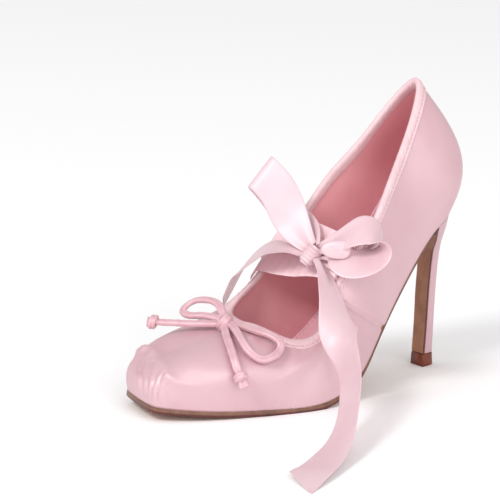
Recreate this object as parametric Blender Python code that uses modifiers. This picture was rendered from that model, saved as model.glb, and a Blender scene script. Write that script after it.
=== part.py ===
"""Left shoe of a pair of satin stiletto pumps, with a cord bow at the throat and a ribbon tied over the instep.

Run with: blender --background --python part.py
The toe points to -Y, the outer side of the foot is +X, and the shoe stands on z = 0.
Tables are in millimetres and degrees. In them "along" runs back from the toe, on the shoe's own length.
"""

import math

import bmesh
import bpy
import numpy as np
from mathutils import Vector

MM = 0.001  # metres in a millimetre

# Driving sizes, millimetres
BALL_ALONG = 78.0  # the forefoot swings inwards ahead of here
TOE_SWING = 12.8  # degrees
ORIGIN_ALONG = 99.85  # the frame's origin, measured along the shoe
ORIGIN_SIDE = 0.75  # and towards the outer side
GAP = 0.3  # between pieces that meet
WALL = 1.8  # satin, backing and lining together
BINDING_DEPTH = 7.2
BINDING_GAP = 0.6  # between the binding's foot and the upper, along the wall
BINDING_THICK = 3.4
SOLE_THICK = 2.8
SHANK_THICK = 1.6
BREAST_THICK = 1.2
TREAD = (54.0, 84.0)  # where the forefoot stands on the floor, along the shoe
TOP_PIECE_HEIGHT = 7.0
INSOLE_THICK = 2.2
RIBBON_THICK = 0.8
RIBBON_WIDTH = 20.0
CORD_RADIUS = 1.6

# The last, a row for each section. Its foot is on the feather line, where the upper meets the sole,
# and its head is on the topline. flare and lay are the wall's lean at the foot and at the head,
# rise and reach how far it keeps that lean.
SECTION_COLUMNS = (
    "along", "medial", "lateral", "height", "medial_lift",
    "top_along", "top_medial", "top_lateral", "top_height", "top_medial_lift",
    "flare", "rise", "lay", "reach",
)
SECTIONS = {
    "toe_centre": (0, 0, 0, 8.2, 0, 63, 0, 0, 41.5, 0, 8, 24, 14, 46),
    "toe_front": (1, 16.5, 15.5, 8.1, 0, 63.5, 10, 9, 42, 0, 9, 25, 13, 45),
    "toe_corner": (5, 22, 21, 7.4, 0, 67, 18.5, 17.5, 40, 2.5, 13, 24, 16, 39),
    "forefoot": (28, 33, 30, 4.9, 0, 75, 25, 25.5, 36, 11, 14, 20, 30, 28),
    "joint": (58, 38, 37, 3.1, 0, 87, 28, 31, 40, 14.5, 14, 16, 50, 17),
    "joint_back": (79, 36, 41.5, 3.1, 0, 96, 28, 29, 53, 11, 10, 16, 66, 14),
    "waist_front": (105, 28, 39, 10, 1, 106, 27.5, 28, 71, 4.5, 8, 16, 77, 16),
    "waist": (129, 21, 29, 29, 3, 121, 28, 29, 89, 1, 6, 18, 81, 16),
    "shank": (150, 19, 22.5, 52.5, 2, 136, 25.5, 25.5, 108.5, 0, 8, 20, 82, 18.5),
    "breast": (173, 18, 19.5, 78, 0, 151, 18, 18, 127, 0, 14, 24, 72, 17.5),
    "heel_side": (187, 13, 15, 86, 0, 165, 10.5, 11, 147, 0, 27, 33, 62, 26),
    "heel_back": (195, 0, 0, 89.3, 0, 174.5, 0, 0, 160.5, 0, 37, 31, 51, 32),
}
STEPS_BETWEEN = (3, 3, 3, 4, 4, 3, 4, 3, 3, 3, 3)  # wall strips between one section and the next

# The heel's D-shaped rings, from the top piece up to where they spread into the seat
HEEL_COLUMNS = ("front", "front_height", "back", "back_height", "half_width")
HEEL_RINGS = {
    "tip": (180.4, 7.3, 188.0, 7.3, 4.8),
    "stem_low": (181.7, 25, 188.7, 25, 4.9),
    "stem": (182.8, 45, 189.8, 45, 5.1),
    "stem_top": (183.9, 60, 191.4, 62, 5.7),
    "neck": (183.4, 66, 192.5, 71, 7.6),
    "flare": (181.9, 70.5, 193.5, 79, 11.2),
}
BREAST_SECTION = 9  # the last section under which the sole runs flat
SEAT_START = 9.3  # where the heel's seat begins, counted in sections
HEEL_POINTS = 16  # around one ring
HEEL_STEPS = 2  # rings between two rows

# The sock: how high its rim climbs the wall at each section, and how far inside the outer face it lies
INSOLE_RIM = (2.8, 2.8, 2.8, 2.8, 2.8, 3.0, 3.2, 5.0, 11.0, 17.0, 18.0, 16.5)
INSOLE_INSET = (3.5, 3.5, 3.7, 3.6, 3.5, 3.5, 3.8, 4.2, 4.8, 5.1, 5.3, 5.3)
SOCK_SPINE = (2.4, 9.7)  # the sections between which the sock has a middle line

# The ribbon's two passes over the instep, from outside the inner wall, over its topline, to inside the outer wall. "low" is the edge nearer the toe, "high" the edge nearer the leg.
BAND_COLUMNS = ("x", "low_along", "low_height", "high_along", "high_height")
BAND_LOWER = {
    "medial_outside": (-32.0, 88.9, 54.4, 101.6, 67.0),
    "medial_edge": (-31.2, 89.3, 57.4, 101.6, 71.0),
    "medial_crest": (-28.0, 90.1, 59.6, 102.2, 73.8),
    "medial": (-19.0, 92.4, 60.2, 104.6, 75.6),
    "centre": (0, 96.5, 61.5, 108.0, 78.0),
    "lateral_crest": (19.0, 99.8, 63.2, 111.6, 79.3),
    "lateral_edge": (23.3, 101.0, 61.5, 112.0, 78.0),
    "lateral_tuck": (23.7, 102.0, 56.5, 113.0, 73.0),
}
BAND_UPPER = {
    "medial_outside": (-33.4, 97.2, 63.0, 109.4, 75.5),
    "medial_edge": (-32.6, 97.4, 67.4, 109.5, 79.8),
    "medial_crest": (-28.5, 98.0, 71.1, 110.0, 83.0),
    "medial": (-17.0, 98.2, 72.6, 110.0, 88.5),
    "centre": (0, 99.5, 71.5, 111.5, 88.0),
    "lateral_crest": (16.0, 101.0, 70.0, 113.0, 86.0),
    "lateral_edge": (24.6, 102.5, 67.0, 114.0, 83.0),
    "lateral_tuck": (25.0, 104.0, 62.0, 115.0, 78.0),
}
KEEPER_RADIUS = 0.8
KEEPER_SPAN = (5.3, 6.7)  # its two feet, counted in sections
KEEPER_DEPTH = 10.0  # its feet below the topline
KEEPER_STAND = 21.8  # how far its bar is from the shoe's middle plane
KEEPER_LIFT = 4.5  # its bar above its feet

# The ribbon's bow. across_* is the direction of the ribbon's width.
RIBBON_KNOT = (12.0, 96.4, 74.8)
RIBBON_KNOT_SIZE = (12.6, 10.4, 10.0)
RIBBON_CLEAR = 6.3  # where a loop or tail leaves the knot
RIBBON_COLUMNS = ("x", "along", "height", "across_x", "across_along", "across_height", "width")
RIBBON_LOOP_MEDIAL = (
    (8.0, 98.9, 80.0, 0.21, 0.42, 0.88, 8),
    (1.5, 96.6, 85.2, 0.3, 0.6, 0.75, 15),
    (-5.0, 95.8, 91.8, 0.2, 0.59, 0.78, 19),
    (-12.0, 94.5, 102.5, 0.2, 0.6, 0.8, 20),
    (-19.0, 92.0, 110.5, 0.2, 0.6, 0.8, 20),
    (-25.5, 90.5, 114.5, 0.2, 0.6, 0.8, 20),
    (-28.5, 93.5, 112.5, 0.2, 0.6, 0.8, 20),
    (-26.5, 98.5, 106.0, 0.3, 0.6, 0.7, 20),
    (-21.0, 102.5, 97.5, 0.3, 0.6, 0.7, 20),
    (-12.5, 103.5, 90.0, 0.3, 0.7, 0.7, 17),
    (-1.5, 103.8, 86.0, 0.29, 0.68, 0.68, 14),
    (9.8, 101.8, 80.6, 0.21, 0.52, 0.83, 8),
)
RIBBON_LOOP_LATERAL = (
    (14.6, 102.0, 79.6, 0.54, -0.54, -0.65, 6),
    (23.0, 104.5, 83.5, 0.61, -0.51, -0.61, 13),
    (29.5, 108.0, 87.8, 0.66, -0.47, -0.59, 17),
    (34.5, 112.7, 90.8, 0.66, -0.47, -0.59, 20),
    (37.5, 117.7, 90.2, 0.66, -0.47, -0.59, 20),
    (39.5, 120.5, 84.5, 0.66, -0.47, -0.59, 20),
    (41.0, 116.5, 78.1, 0.66, -0.47, -0.59, 20),
    (38.6, 109.2, 74.1, 0.66, -0.47, -0.59, 19),
    (32.3, 104.2, 74.4, 0.6, -0.45, -0.66, 18),
    (24.5, 102.4, 78.0, 0.5, -0.4, -0.77, 12),
    (15.6, 102.6, 75.6, 0.5, -0.4, -0.77, 6),
)
RIBBON_TAIL_LONG = (
    (18.2, 97.6, 73.2, -0.49, 0.85, -0.21, 6),
    (27.8, 94.5, 67.5, -0.51, 0.86, -0.07, 12),
    (35.3, 91.6, 61.6, -0.6, 0.76, 0.25, 18),
    (43.4, 87.9, 54.0, -0.62, 0.64, 0.46, 20),
    (51.7, 84.1, 46.6, -0.57, 0.6, 0.56, 20),
    (59.6, 80.9, 40.6, -0.4, 0.52, 0.76, 20),
    (68.2, 77.6, 35.0, 0.05, 0.37, 0.93, 20),
    (80.8, 70.3, 26.3, 0.27, 0.35, 0.9, 20),
    (105.2, 46.8, 9.9, 0.56, 0.51, 0.65, 20),
    (123.9, 22.3, 3.6, 0.69, 0.7, 0.2, 20),
    (135.9, 3.9, 2.4, 0.69, 0.72, 0.01, 20),
    (142.7, -7.7, 1.5, 0.66, 0.75, -0.06, 20),
)
RIBBON_TAIL_SHORT = (
    (6.3, 93.4, 75.2, -0.75, 0.61, 0.26, 7),
    (0.0, 91.6, 76.6, -0.77, 0.61, 0.18, 10),
    (-8.0, 89.4, 76.2, -0.81, 0.59, 0.09, 14),
    (-18.0, 88.8, 73.4, -0.83, 0.55, 0, 17),
    (-26.5, 87.4, 68.2, -0.84, 0.54, -0.11, 19),
    (-33.0, 85.6, 62.1, -0.8, 0.56, -0.21, 20),
    (-37.2, 83.3, 55.5, -0.71, 0.64, -0.29, 20),
    (-40.0, 80.7, 48.1, -0.7, 0.66, -0.29, 20),
    (-42.3, 78.1, 40.6, -0.71, 0.65, -0.28, 20),
)

# The cord bow at the throat
BOW_KNOT = (-2.0, 50.5, 42.4)
BOW_KNOT_SIZE = (9.0, 9.0, 7.6)
BOW_CLEAR = 4.6
ROUTE_COLUMNS = ("x", "along", "height")
BOW_LOOP_MEDIAL = (
    (-7.0, 50.5, 44.6), (-16.0, 45.4, 44.3), (-23.0, 42.3, 43.4), (-28.0, 42.3, 44.6), (-28.5, 47.0, 48.0),
    (-20.5, 52.0, 50.8), (-12.0, 53.5, 50.0), (-6.0, 52.6, 47.0),
)
BOW_LOOP_LATERAL = (
    (3.5, 52.8, 43.5), (9.5, 54.9, 42.1), (17.0, 56.2, 41.6), (23.7, 58.4, 41.1), (28.7, 60.9, 39.4),
    (32.3, 62.0, 36.6), (34.0, 59.8, 33.7), (36.0, 54.0, 31.9), (35.5, 48.0, 31.2), (31.5, 43.5, 34.4),
    (23.0, 43.6, 39.4), (11.0, 47.6, 42.6), (3.5, 50.4, 43.8),
)
BOW_TAIL_MEDIAL = ((-5.8, 46.6, 41.4), (-14.0, 40.2, 41.0), (-22.0, 33.0, 40.8), (-29.0, 25.8, 40.8))
BOW_TAIL_VAMP = (
    (1.5, 47.0, 42.0), (7.0, 44.5, 41.2), (14.0, 40.5, 39.8), (21.5, 37.0, 37.6), (29.5, 33.6, 33.8),
    (34.4, 32.4, 29.2), (36.9, 33.0, 24.6),
)
BOW_TIP_SIZE = 7.4  # the box that the end knot is rounded from
BOW_TIP_REACH = 3.4  # from the end of the cord to the middle of its end knot

LAST_SECTION = len(SECTIONS) - 1
AROUND = 2 * LAST_SECTION


def column(name):
    """One column of the section table."""
    at = SECTION_COLUMNS.index(name)
    return np.array([row[at] for row in SECTIONS.values()], float)


def cubic(knots, values, closed=False):
    """Smooth curve through rows of values. Call the result with places, and 1 for the slope there."""
    knots = np.asarray(knots, float)
    values = np.asarray(values, float)
    gaps = np.diff(knots)
    slopes = np.diff(values, axis=0) / gaps[:, None]
    count = len(gaps) if closed else len(knots)
    system = np.zeros((count, count))
    target = np.zeros((count, values.shape[1]))
    for row in range(count):
        if not closed and row in (0, count - 1):
            system[row, row] = 1.0
            continue
        system[row, row - 1] += gaps[row - 1]
        system[row, row] += 2 * (gaps[row - 1] + gaps[row])
        system[row, (row + 1) % count] += gaps[row]
        target[row] = 6 * (slopes[row] - slopes[row - 1])
    bends = np.linalg.solve(system, target)
    if closed:
        bends = np.vstack([bends, bends[:1]])

    def at(places, order=0):
        places = np.atleast_1d(np.asarray(places, float))
        i = np.clip(np.searchsorted(knots, places, side="right") - 1, 0, len(gaps) - 1)
        h = gaps[i][:, None]
        b = (places - knots[i])[:, None] / h
        a = 1 - b
        if order:
            pull = (3 * b * b - 1) * bends[i + 1] - (3 * a * a - 1) * bends[i]
            return (values[i + 1] - values[i]) / h + pull * h / 6
        pull = (a**3 - a) * bends[i] + (b**3 - b) * bends[i + 1]
        return a * values[i] + b * values[i + 1] + pull * h * h / 6

    return at


def smooth_path(points, count):
    """count points, evenly spread, on a smooth curve through rows of numbers whose first three are a place."""
    points = np.asarray(points, float)
    steps = np.linalg.norm(np.diff(points[:, :3], axis=0), axis=1)
    knots = np.concatenate([[0], np.cumsum(steps)])
    return cubic(knots, points)(np.linspace(0, knots[-1], count))


def unit(rows):
    """Rows scaled to length one."""
    return rows / np.linalg.norm(rows, axis=-1, keepdims=True)


def swing(points):
    """Turn the forefoot inwards along a circle that starts at the ball."""
    points = np.asarray(points, float)
    ahead = np.clip(BALL_ALONG - points[..., 1], 0, None)
    turn = math.radians(TOE_SWING) * ahead / BALL_ALONG
    x = points[..., 0] * np.cos(turn) - turn * ahead / 2
    along = points[..., 1] - points[..., 0] * np.sin(turn)
    return np.stack([x, along, points[..., 2]], axis=-1)


class Last:
    """The last's skin. A place around it, v, counts sections: up the lateral side from the toe to the
    heel, and back down the medial side."""

    def __init__(self):
        side_rows = [(i, 1) for i in range(LAST_SECTION + 1)]
        side_rows += [(i, -1) for i in range(LAST_SECTION - 1, -1, -1)]
        index = np.array([i for i, side in side_rows])
        medial = np.array([side < 0 for i, side in side_rows])
        foot_x = np.where(medial, -column("medial")[index], column("lateral")[index])
        head_x = np.where(medial, -column("top_medial")[index], column("top_lateral")[index])
        foot_z = column("height")[index] + medial * column("medial_lift")[index]
        head_z = column("top_height")[index] + medial * column("top_medial_lift")[index]
        foot = np.column_stack([foot_x, column("along")[index], foot_z])
        head = np.column_stack([head_x, column("top_along")[index], head_z])
        hand = np.column_stack([column(name)[index] for name in ("flare", "rise", "lay", "reach")])
        chords = np.linalg.norm(np.diff((foot + head) / 2, axis=0), axis=1) ** 0.6
        self.knots = np.concatenate([[0], np.cumsum(chords)])
        self.foot_curve = cubic(self.knots, foot, closed=True)
        self.head_curve = cubic(self.knots, head, closed=True)
        self.hand_curve = cubic(self.knots, hand, closed=True)

    def place(self, v):
        return np.interp(np.mod(v, AROUND), np.arange(AROUND + 1), self.knots)

    def feather(self, v):
        return swing(self.foot_curve(self.place(v)))

    def outward(self, curve, u):
        run = unit(curve(u, 1)[:, :2])
        return np.column_stack([run[:, 1], -run[:, 0]])

    def ribs(self, v, samples=41):
        """Wall lines from the feather line to the topline, samples x places x 3."""
        u = self.place(v)
        foot = self.foot_curve(u)
        head = self.head_curve(u)
        flare, rise, lay, reach = self.hand_curve(u).T
        flare = np.radians(flare)
        lay = np.radians(lay)
        foot_out = self.outward(self.foot_curve, u) * np.sin(flare)[:, None]
        head_out = self.outward(self.head_curve, u) * np.cos(lay)[:, None]
        low = foot + np.column_stack([foot_out, np.cos(flare)]) * rise[:, None]
        high = head + np.column_stack([head_out, -np.sin(lay)]) * reach[:, None]
        t = np.linspace(0, 1, samples)[:, None, None]
        s = 1 - t
        return swing(s**3 * foot + 3 * s**2 * t * low + 3 * s * t**2 * high + t**3 * head)

    def wall(self, v, distance, from_top=False):
        """Points on the outer face, at a distance along each rib from its foot, or from the topline."""
        v = np.atleast_1d(np.asarray(v, float))
        distance = np.broadcast_to(distance, v.shape)
        ribs = self.ribs(v)
        if from_top:
            ribs = ribs[::-1]
        reach = np.linalg.norm(np.diff(ribs, axis=0), axis=2)
        reach = np.vstack([np.zeros(len(v)), np.cumsum(reach, axis=0)])
        points = [
            [np.interp(distance[j], reach[:, j], ribs[:, j, axis]) for axis in range(3)] for j in range(len(v))
        ]
        return np.array(points)

    def rib_length(self, v):
        return np.linalg.norm(np.diff(self.ribs(v), axis=0), axis=2).sum(axis=0)

    def normal(self, v, distance, from_top=False):
        """Outward directions of the wall at the same places."""
        v = np.atleast_1d(np.asarray(v, float))
        ahead = self.wall(v + 0.02, distance, from_top) - self.wall(v - 0.02, distance, from_top)
        distance = np.broadcast_to(distance, v.shape)
        up = self.wall(v, distance + 0.5, from_top) - self.wall(v, np.maximum(distance - 0.5, 0), from_top)
        return unit(np.cross(ahead, -up if from_top else up))


def places_around(steps=STEPS_BETWEEN):
    """Places around the last, steps of them between sections, the same on both sides."""
    side = [i + k / count for i, count in enumerate(steps) for k in range(count)]
    return np.array(side + [LAST_SECTION] + [AROUND - v for v in reversed(side[1:])])


def world(points):
    """Shoe millimetres to frame metres."""
    points = np.asarray(points, float)
    return (points - (ORIGIN_SIDE, ORIGIN_ALONG, 0)) * MM


def material(name, colour, roughness, sheen=0.0):
    made = bpy.data.materials.new(name)
    made.use_nodes = True
    surface = made.node_tree.nodes["Principled BSDF"]
    surface.inputs["Base Color"].default_value = (*colour, 1)
    surface.inputs["Roughness"].default_value = roughness
    surface.inputs["Metallic"].default_value = 0.0
    surface.inputs["Sheen Weight"].default_value = sheen
    return made


def finish(obj, finish_material):
    """Give a piece its material, put it in the shoe's collection and shade it smooth."""
    obj.data.materials.append(finish_material)
    for other in list(obj.users_collection):
        other.objects.unlink(obj)
    shoe.objects.link(obj)
    if obj.type == "MESH":
        obj.data.shade_smooth()
    return obj


def mesh_piece(name, points, faces, finish_material, closed=True):
    """A hand-built mesh, with its faces turned outwards if it is closed."""
    mesh = bpy.data.meshes.new(name)
    mesh.from_pydata([tuple(p) for p in world(points)], [], faces)
    if closed:
        edit = bmesh.new()
        edit.from_mesh(mesh)
        bmesh.ops.recalc_face_normals(edit, faces=edit.faces)
        edit.to_mesh(mesh)
        edit.free()
    return finish(bpy.data.objects.new(name, mesh), finish_material)


def grid_faces(rows, columns, wrap_rows=False, wrap_columns=False, start=0):
    """Quads over a grid of points that are numbered row by row."""
    faces = []
    for i in range(rows if wrap_rows else rows - 1):
        for j in range(columns if wrap_columns else columns - 1):
            near = start + i * columns
            far = start + (i + 1) % rows * columns
            right = (j + 1) % columns
            faces.append((near + j, near + right, far + right, far + j))
    return faces


def slab(name, upper_face, lower_face, finish_material):
    """A closed plate between two grids of points of the same size."""
    upper_face = np.asarray(upper_face)
    rows, columns = upper_face.shape[:2]
    count = rows * columns
    points = np.vstack([upper_face.reshape(-1, 3), np.asarray(lower_face).reshape(-1, 3)])
    faces = grid_faces(rows, columns) + [f[::-1] for f in grid_faces(rows, columns, start=count)]
    rim = [j for j in range(columns)]
    rim += [i * columns + columns - 1 for i in range(1, rows)]
    rim += [(rows - 1) * columns + j for j in range(columns - 2, -1, -1)]
    rim += [i * columns for i in range(rows - 2, 0, -1)]
    for a, b in zip(rim, rim[1:] + rim[:1]):
        faces.append((a, a + count, b + count, b))
    return mesh_piece(name, points, faces, finish_material)


def add_thickness(obj, thickness):
    """A wall on the inner side of an open surface."""
    wall = obj.modifiers.new("Wall", "SOLIDIFY")
    wall.thickness = thickness * MM
    wall.offset = -1
    wall.use_even_offset = True
    return obj


def make_upper():
    """Hollow shell from the feather line to the foot of the binding."""
    v = places_around()
    levels = np.linspace(0, 1, 10)
    full = last.rib_length(v) - BINDING_DEPTH - BINDING_GAP
    rings = [last.wall(v, full * level) for level in levels]
    faces = grid_faces(len(levels), len(v), wrap_columns=True)
    upper = mesh_piece("upper", np.vstack(rings), faces, satin, closed=False)
    return add_thickness(upper, WALL)


def make_binding():
    """Padded roll over the topline, a rounded section carried round it."""
    v = places_around()
    rings = []
    for angle in np.radians(np.arange(0, 360, 45)):
        share = (1 - math.copysign(abs(math.cos(angle)) ** 0.7, math.cos(angle))) / 2
        side = BINDING_THICK / 2 * math.copysign(abs(math.sin(angle)) ** 0.7, math.sin(angle))
        depth = share * BINDING_DEPTH
        out = last.normal(v, depth, from_top=True)
        rings.append(last.wall(v, depth, from_top=True) + out * (side - WALL / 2))
    points = np.stack(rings, axis=1).reshape(-1, 3)
    faces = grid_faces(len(v), len(rings), wrap_rows=True, wrap_columns=True)
    return mesh_piece("topline_binding", points, faces, binding_satin)


def heel_rings():
    """Rings of the heel from the top piece to the seat, each from its lateral front corner round the back."""
    turn = np.linspace(0, math.pi, HEEL_POINTS)
    round_x = np.sign(np.cos(turn)) * np.abs(np.cos(turn)) ** 0.85
    round_back = np.sin(turn) ** 0.85
    rows = []
    for front, front_height, back, back_height, half_width in HEEL_RINGS.values():
        ring = [round_x * half_width, front + (back - front) * round_back]
        ring.append(front_height + (back_height - front_height) * round_back)
        rows.append(np.column_stack(ring))
    seat = last.feather(np.linspace(SEAT_START, AROUND - SEAT_START, HEEL_POINTS))
    seat[:, 2] -= GAP + 0.1
    rows.append(seat)
    flat = np.array([row.ravel() for row in rows])
    steps = np.linalg.norm(np.diff(flat, axis=0), axis=1) / math.sqrt(HEEL_POINTS)
    knots = np.concatenate([[0], np.cumsum(steps)])
    places = [knots[i] + (knots[i + 1] - knots[i]) * k / HEEL_STEPS
              for i in range(len(rows) - 1) for k in range(HEEL_STEPS)]
    return cubic(knots, flat)(places + [knots[-1]]).reshape(-1, HEEL_POINTS, 3)


def make_heel(rings):
    """Satin-covered heel, closed at the seat and at the tip."""
    points = rings.reshape(-1, 3)
    faces = grid_faces(len(rings), HEEL_POINTS, wrap_columns=True)
    for start in (0, (len(rings) - 1) * HEEL_POINTS):
        for j in range(HEEL_POINTS // 2 - 1):
            mirrored = HEEL_POINTS - 1 - j
            faces.append((start + j, start + j + 1, start + mirrored - 1, start + mirrored))
    return mesh_piece("heel", points, faces, heel_satin)


def make_top_piece():
    """Wear block under the heel and its breast cover."""
    turn = np.linspace(0, math.pi, HEEL_POINTS)
    rings = []
    for height, front, back, half_width in ((0, 178.6, 188.5, 5.2), (TOP_PIECE_HEIGHT, 178.9, 188.1, 4.85)):
        x = np.sign(np.cos(turn)) * np.abs(np.cos(turn)) ** 0.85 * half_width
        along = front + (back - front) * np.sin(turn) ** 0.85
        rings.append(np.column_stack([x, along, np.full(HEEL_POINTS, height)]))
    faces = grid_faces(2, HEEL_POINTS, wrap_columns=True)
    faces.append(tuple(range(HEEL_POINTS)))
    faces.append(tuple(range(2 * HEEL_POINTS - 1, HEEL_POINTS - 1, -1)))
    return mesh_piece("top_piece", np.vstack(rings), faces, rubber)


def crossing(start, direction, other, other_direction):
    """Where two lines in the shoe's side view meet."""
    matrix = np.column_stack([direction, -np.asarray(other_direction)])
    return start + np.linalg.solve(matrix, other - start)[0] * np.asarray(direction)


def make_outsole(rings):
    """Sole from the toe to the breast, turned down over the heel's front face."""
    corner = 2  # the toe's corners, counted in sections
    places = places_around()
    front_places = places[places <= corner]
    front = last.feather(np.concatenate([front_places[::-1], -front_places[1:]]))
    share = (front[0, 0] - front[:, 0]) / (front[0, 0] - front[-1, 0])
    stations = places[(places > corner) & (places <= BREAST_SECTION)]
    upper_face = [front]
    for s in stations:
        lateral, medial = last.feather([s, AROUND - s])
        upper_face.append(lateral + (medial - lateral) * share[:, None])
    upper_face = np.array(upper_face)
    middle = upper_face.mean(axis=1)
    run = np.gradient(middle[:, 1:], axis=0)
    slope = np.arctan2(run[:, 1], run[:, 0])
    down = np.column_stack([np.zeros(len(slope)), np.sin(slope), -np.cos(slope)])[:, None, :]
    thick = np.interp(middle[:, 1], (90, 125), (SOLE_THICK, SHANK_THICK))[:, None, None]
    lower_face = upper_face + down * (GAP + thick)
    upper_face = upper_face + down * GAP
    treads = (lower_face[..., 1] > TREAD[0]) & (lower_face[..., 1] < TREAD[1])
    lower_face[..., 2] = np.where(treads, 0, np.maximum(lower_face[..., 2], 0))

    # The turn at the breast, worked out in the side view
    edges = rings[::-1]
    front_line = edges[:, 0, 1:]
    fall = unit(np.gradient(front_line, axis=0))
    ahead = np.column_stack([fall[:, 1], -fall[:, 0]])
    ahead *= np.where(ahead[:, 0] > 0, -1, 1)[:, None]
    sole_line = upper_face[-1].mean(axis=0)[1:]
    tread_line = lower_face[-1].mean(axis=0)[1:]
    rise = unit(front_line[0] - sole_line)
    outer = front_line[0] + ahead[0] * GAP
    turn_top = crossing(sole_line, rise, outer, fall[0])
    turn_low = crossing(tread_line, rise, front_line[0] + ahead[0] * (GAP + BREAST_THICK), fall[0])
    rows_top = [turn_top]
    rows_low = [turn_low]
    widths = [edges[0, [0, -1], 0]]
    for k in range(1, len(edges)):
        low = front_line[k] + ahead[k] * (GAP + BREAST_THICK)
        if low[1] > turn_low[1] - 0.8:
            continue
        rows_top.append(front_line[k] + ahead[k] * GAP)
        rows_low.append(low)
        widths.append(edges[k, [0, -1], 0])
    breast_top = []
    breast_low = []
    for top, low, (lateral, medial) in zip(rows_top, rows_low, widths):
        x = lateral + (medial - lateral) * share
        breast_top.append(np.column_stack([x, np.full(len(x), top[0]), np.full(len(x), top[1])]))
        breast_low.append(np.column_stack([x, np.full(len(x), low[0]), np.full(len(x), low[1])]))
    return slab("outsole", np.vstack([upper_face, breast_top]), np.vstack([lower_face, breast_low]), leather)


def make_insole():
    """Sock and board: a dish whose rim climbs the wall at the heel."""
    v = places_around((2,) * LAST_SECTION)
    side = np.minimum(v, AROUND - v)
    rim_rise = np.interp(side, np.arange(LAST_SECTION + 1), INSOLE_RIM)
    inset = np.interp(side, np.arange(LAST_SECTION + 1), INSOLE_INSET)
    rim = last.wall(v, rim_rise) - last.normal(v, rim_rise) * inset[:, None]
    spine_place = np.clip(side, *SOCK_SPINE)
    spine = (last.feather(spine_place) + last.feather(AROUND - spine_place)) / 2

    fine = np.linspace(0.5, LAST_SECTION, 60)
    ground = (last.feather(fine) + last.feather(AROUND - fine)) / 2

    def above_ground(points):
        return points[:, 2] - np.interp(points[:, 1], ground[:, 1], ground[:, 2])

    rim_above = above_ground(rim)
    climb = np.gradient(ground[:, 2], ground[:, 1])
    lean = np.cos(np.arctan(np.interp(spine[:, 1], ground[:, 1], climb)))
    spine_above = (INSOLE_THICK + 2 * GAP) / lean
    rings = []
    for reach in (1, 0.93, 0.8, 0.6, 0.32):
        ring = spine + (rim - spine) * reach
        lift = spine_above + (rim_above - spine_above) * (1 - math.sqrt(1 - reach**2))
        ring[:, 2] += lift - above_ground(ring)
        rings.append(ring)
    middle = spine.copy()
    middle[:, 2] += spine_above - above_ground(middle)
    rings.append(middle)
    faces = grid_faces(len(rings), len(v), wrap_columns=True)
    sock = mesh_piece("insole", np.vstack(rings), faces, sock_pink, closed=False)
    edit = bmesh.new()
    edit.from_mesh(sock.data)
    bmesh.ops.remove_doubles(edit, verts=edit.verts, dist=0.05 * MM)
    edit.to_mesh(sock.data)
    edit.free()
    return add_thickness(sock, INSOLE_THICK)


def thicken(grid, thickness):
    """Both faces of a thin sheet whose middle is a grid of points."""
    down_rows = np.gradient(grid, axis=0)
    over_columns = np.gradient(grid, axis=1)
    out = unit(np.cross(down_rows, over_columns)) * thickness / 2
    return grid + out, grid - out


def make_band(name, table):
    """One pass of the ribbon over the instep, one end over the inner topline and the other tucked inside the outer."""
    rows = np.array(list(table.values()), float)
    low = rows[:, [0, 1, 2]]
    high = rows[:, [0, 3, 4]]
    both = smooth_path(np.hstack([(low + high) / 2, low, high]), 22)
    share = np.linspace(0, 1, 4)[None, :, None]
    grid = both[:, None, 3:6] * (1 - share) + both[:, None, 6:9] * share
    return slab(name, *thicken(grid, RIBBON_THICK), ribbon_satin)


def make_ribbon(name, table, count, clear_both=True):
    """A loop or tail of the wide ribbon, from rows of centre, width direction and width."""
    rows = np.array(table, float)
    knot = np.array(RIBBON_KNOT)
    for end in (0, -1) if clear_both else (0,):
        rows[end, :3] = knot + unit(rows[end, :3] - knot) * RIBBON_CLEAR
    path = smooth_path(rows, count)
    centre = path[:, :3]
    run = unit(np.gradient(centre, axis=0))
    across = unit(path[:, 3:6] - (path[:, 3:6] * run).sum(axis=1, keepdims=True) * run)
    width = np.clip(path[:, 6:7], 5, RIBBON_WIDTH)[:, None, :]
    share = np.linspace(-0.5, 0.5, 3)[None, :, None]
    grid = centre[:, None, :] + across[:, None, :] * width * share
    upper_face, lower_face = thicken(grid, RIBBON_THICK)
    upper_face[..., 2] = np.maximum(upper_face[..., 2], GAP)
    lower_face[..., 2] = np.maximum(lower_face[..., 2], GAP)
    return slab(name, upper_face, lower_face, ribbon_satin)


def make_knot(name, centre, size, finish_material, turn=0.0):
    """A soft rounded lump, from a box with rounded corners."""
    bpy.ops.mesh.primitive_cube_add(size=1, location=world([centre])[0])
    knot = bpy.context.object
    knot.name = name
    knot.data.name = name
    knot.scale = Vector(size) * MM
    knot.rotation_euler.z = math.radians(turn)
    bpy.ops.object.transform_apply(location=False, rotation=True, scale=True)
    soften = knot.modifiers.new("Soften", "SUBSURF")
    soften.levels = 2
    soften.render_levels = 2
    return finish(knot, finish_material)


def make_cord(name, table, radius, count, knot=None, clear=0.0, both=False):
    """A round cord on a smooth route, its ends kept clear of the knot that they leave."""
    rows = np.array(table, float)
    if knot is not None:
        for end in (0, -1) if both else (0,):
            rows[end] = np.array(knot) + unit(rows[end] - knot) * clear
    route = world(smooth_path(rows, count))
    curve = bpy.data.curves.new(name, "CURVE")
    curve.dimensions = "3D"
    curve.bevel_depth = radius * MM
    curve.bevel_resolution = 2
    curve.use_fill_caps = True
    spline = curve.splines.new("POLY")
    spline.points.add(len(route) - 1)
    for point, place in zip(spline.points, route):
        point.co = (*place, 1)
    return finish(bpy.data.objects.new(name, curve), cord_satin)


def make_end_knot(name, table):
    """The knot in the end of a cord, straight on from the cord's last points."""
    before, end = np.array(table[-2:], float)
    centre = end + unit(end - before) * BOW_TIP_REACH
    return make_knot(name, centre, (BOW_TIP_SIZE,) * 3, cord_satin)


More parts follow.
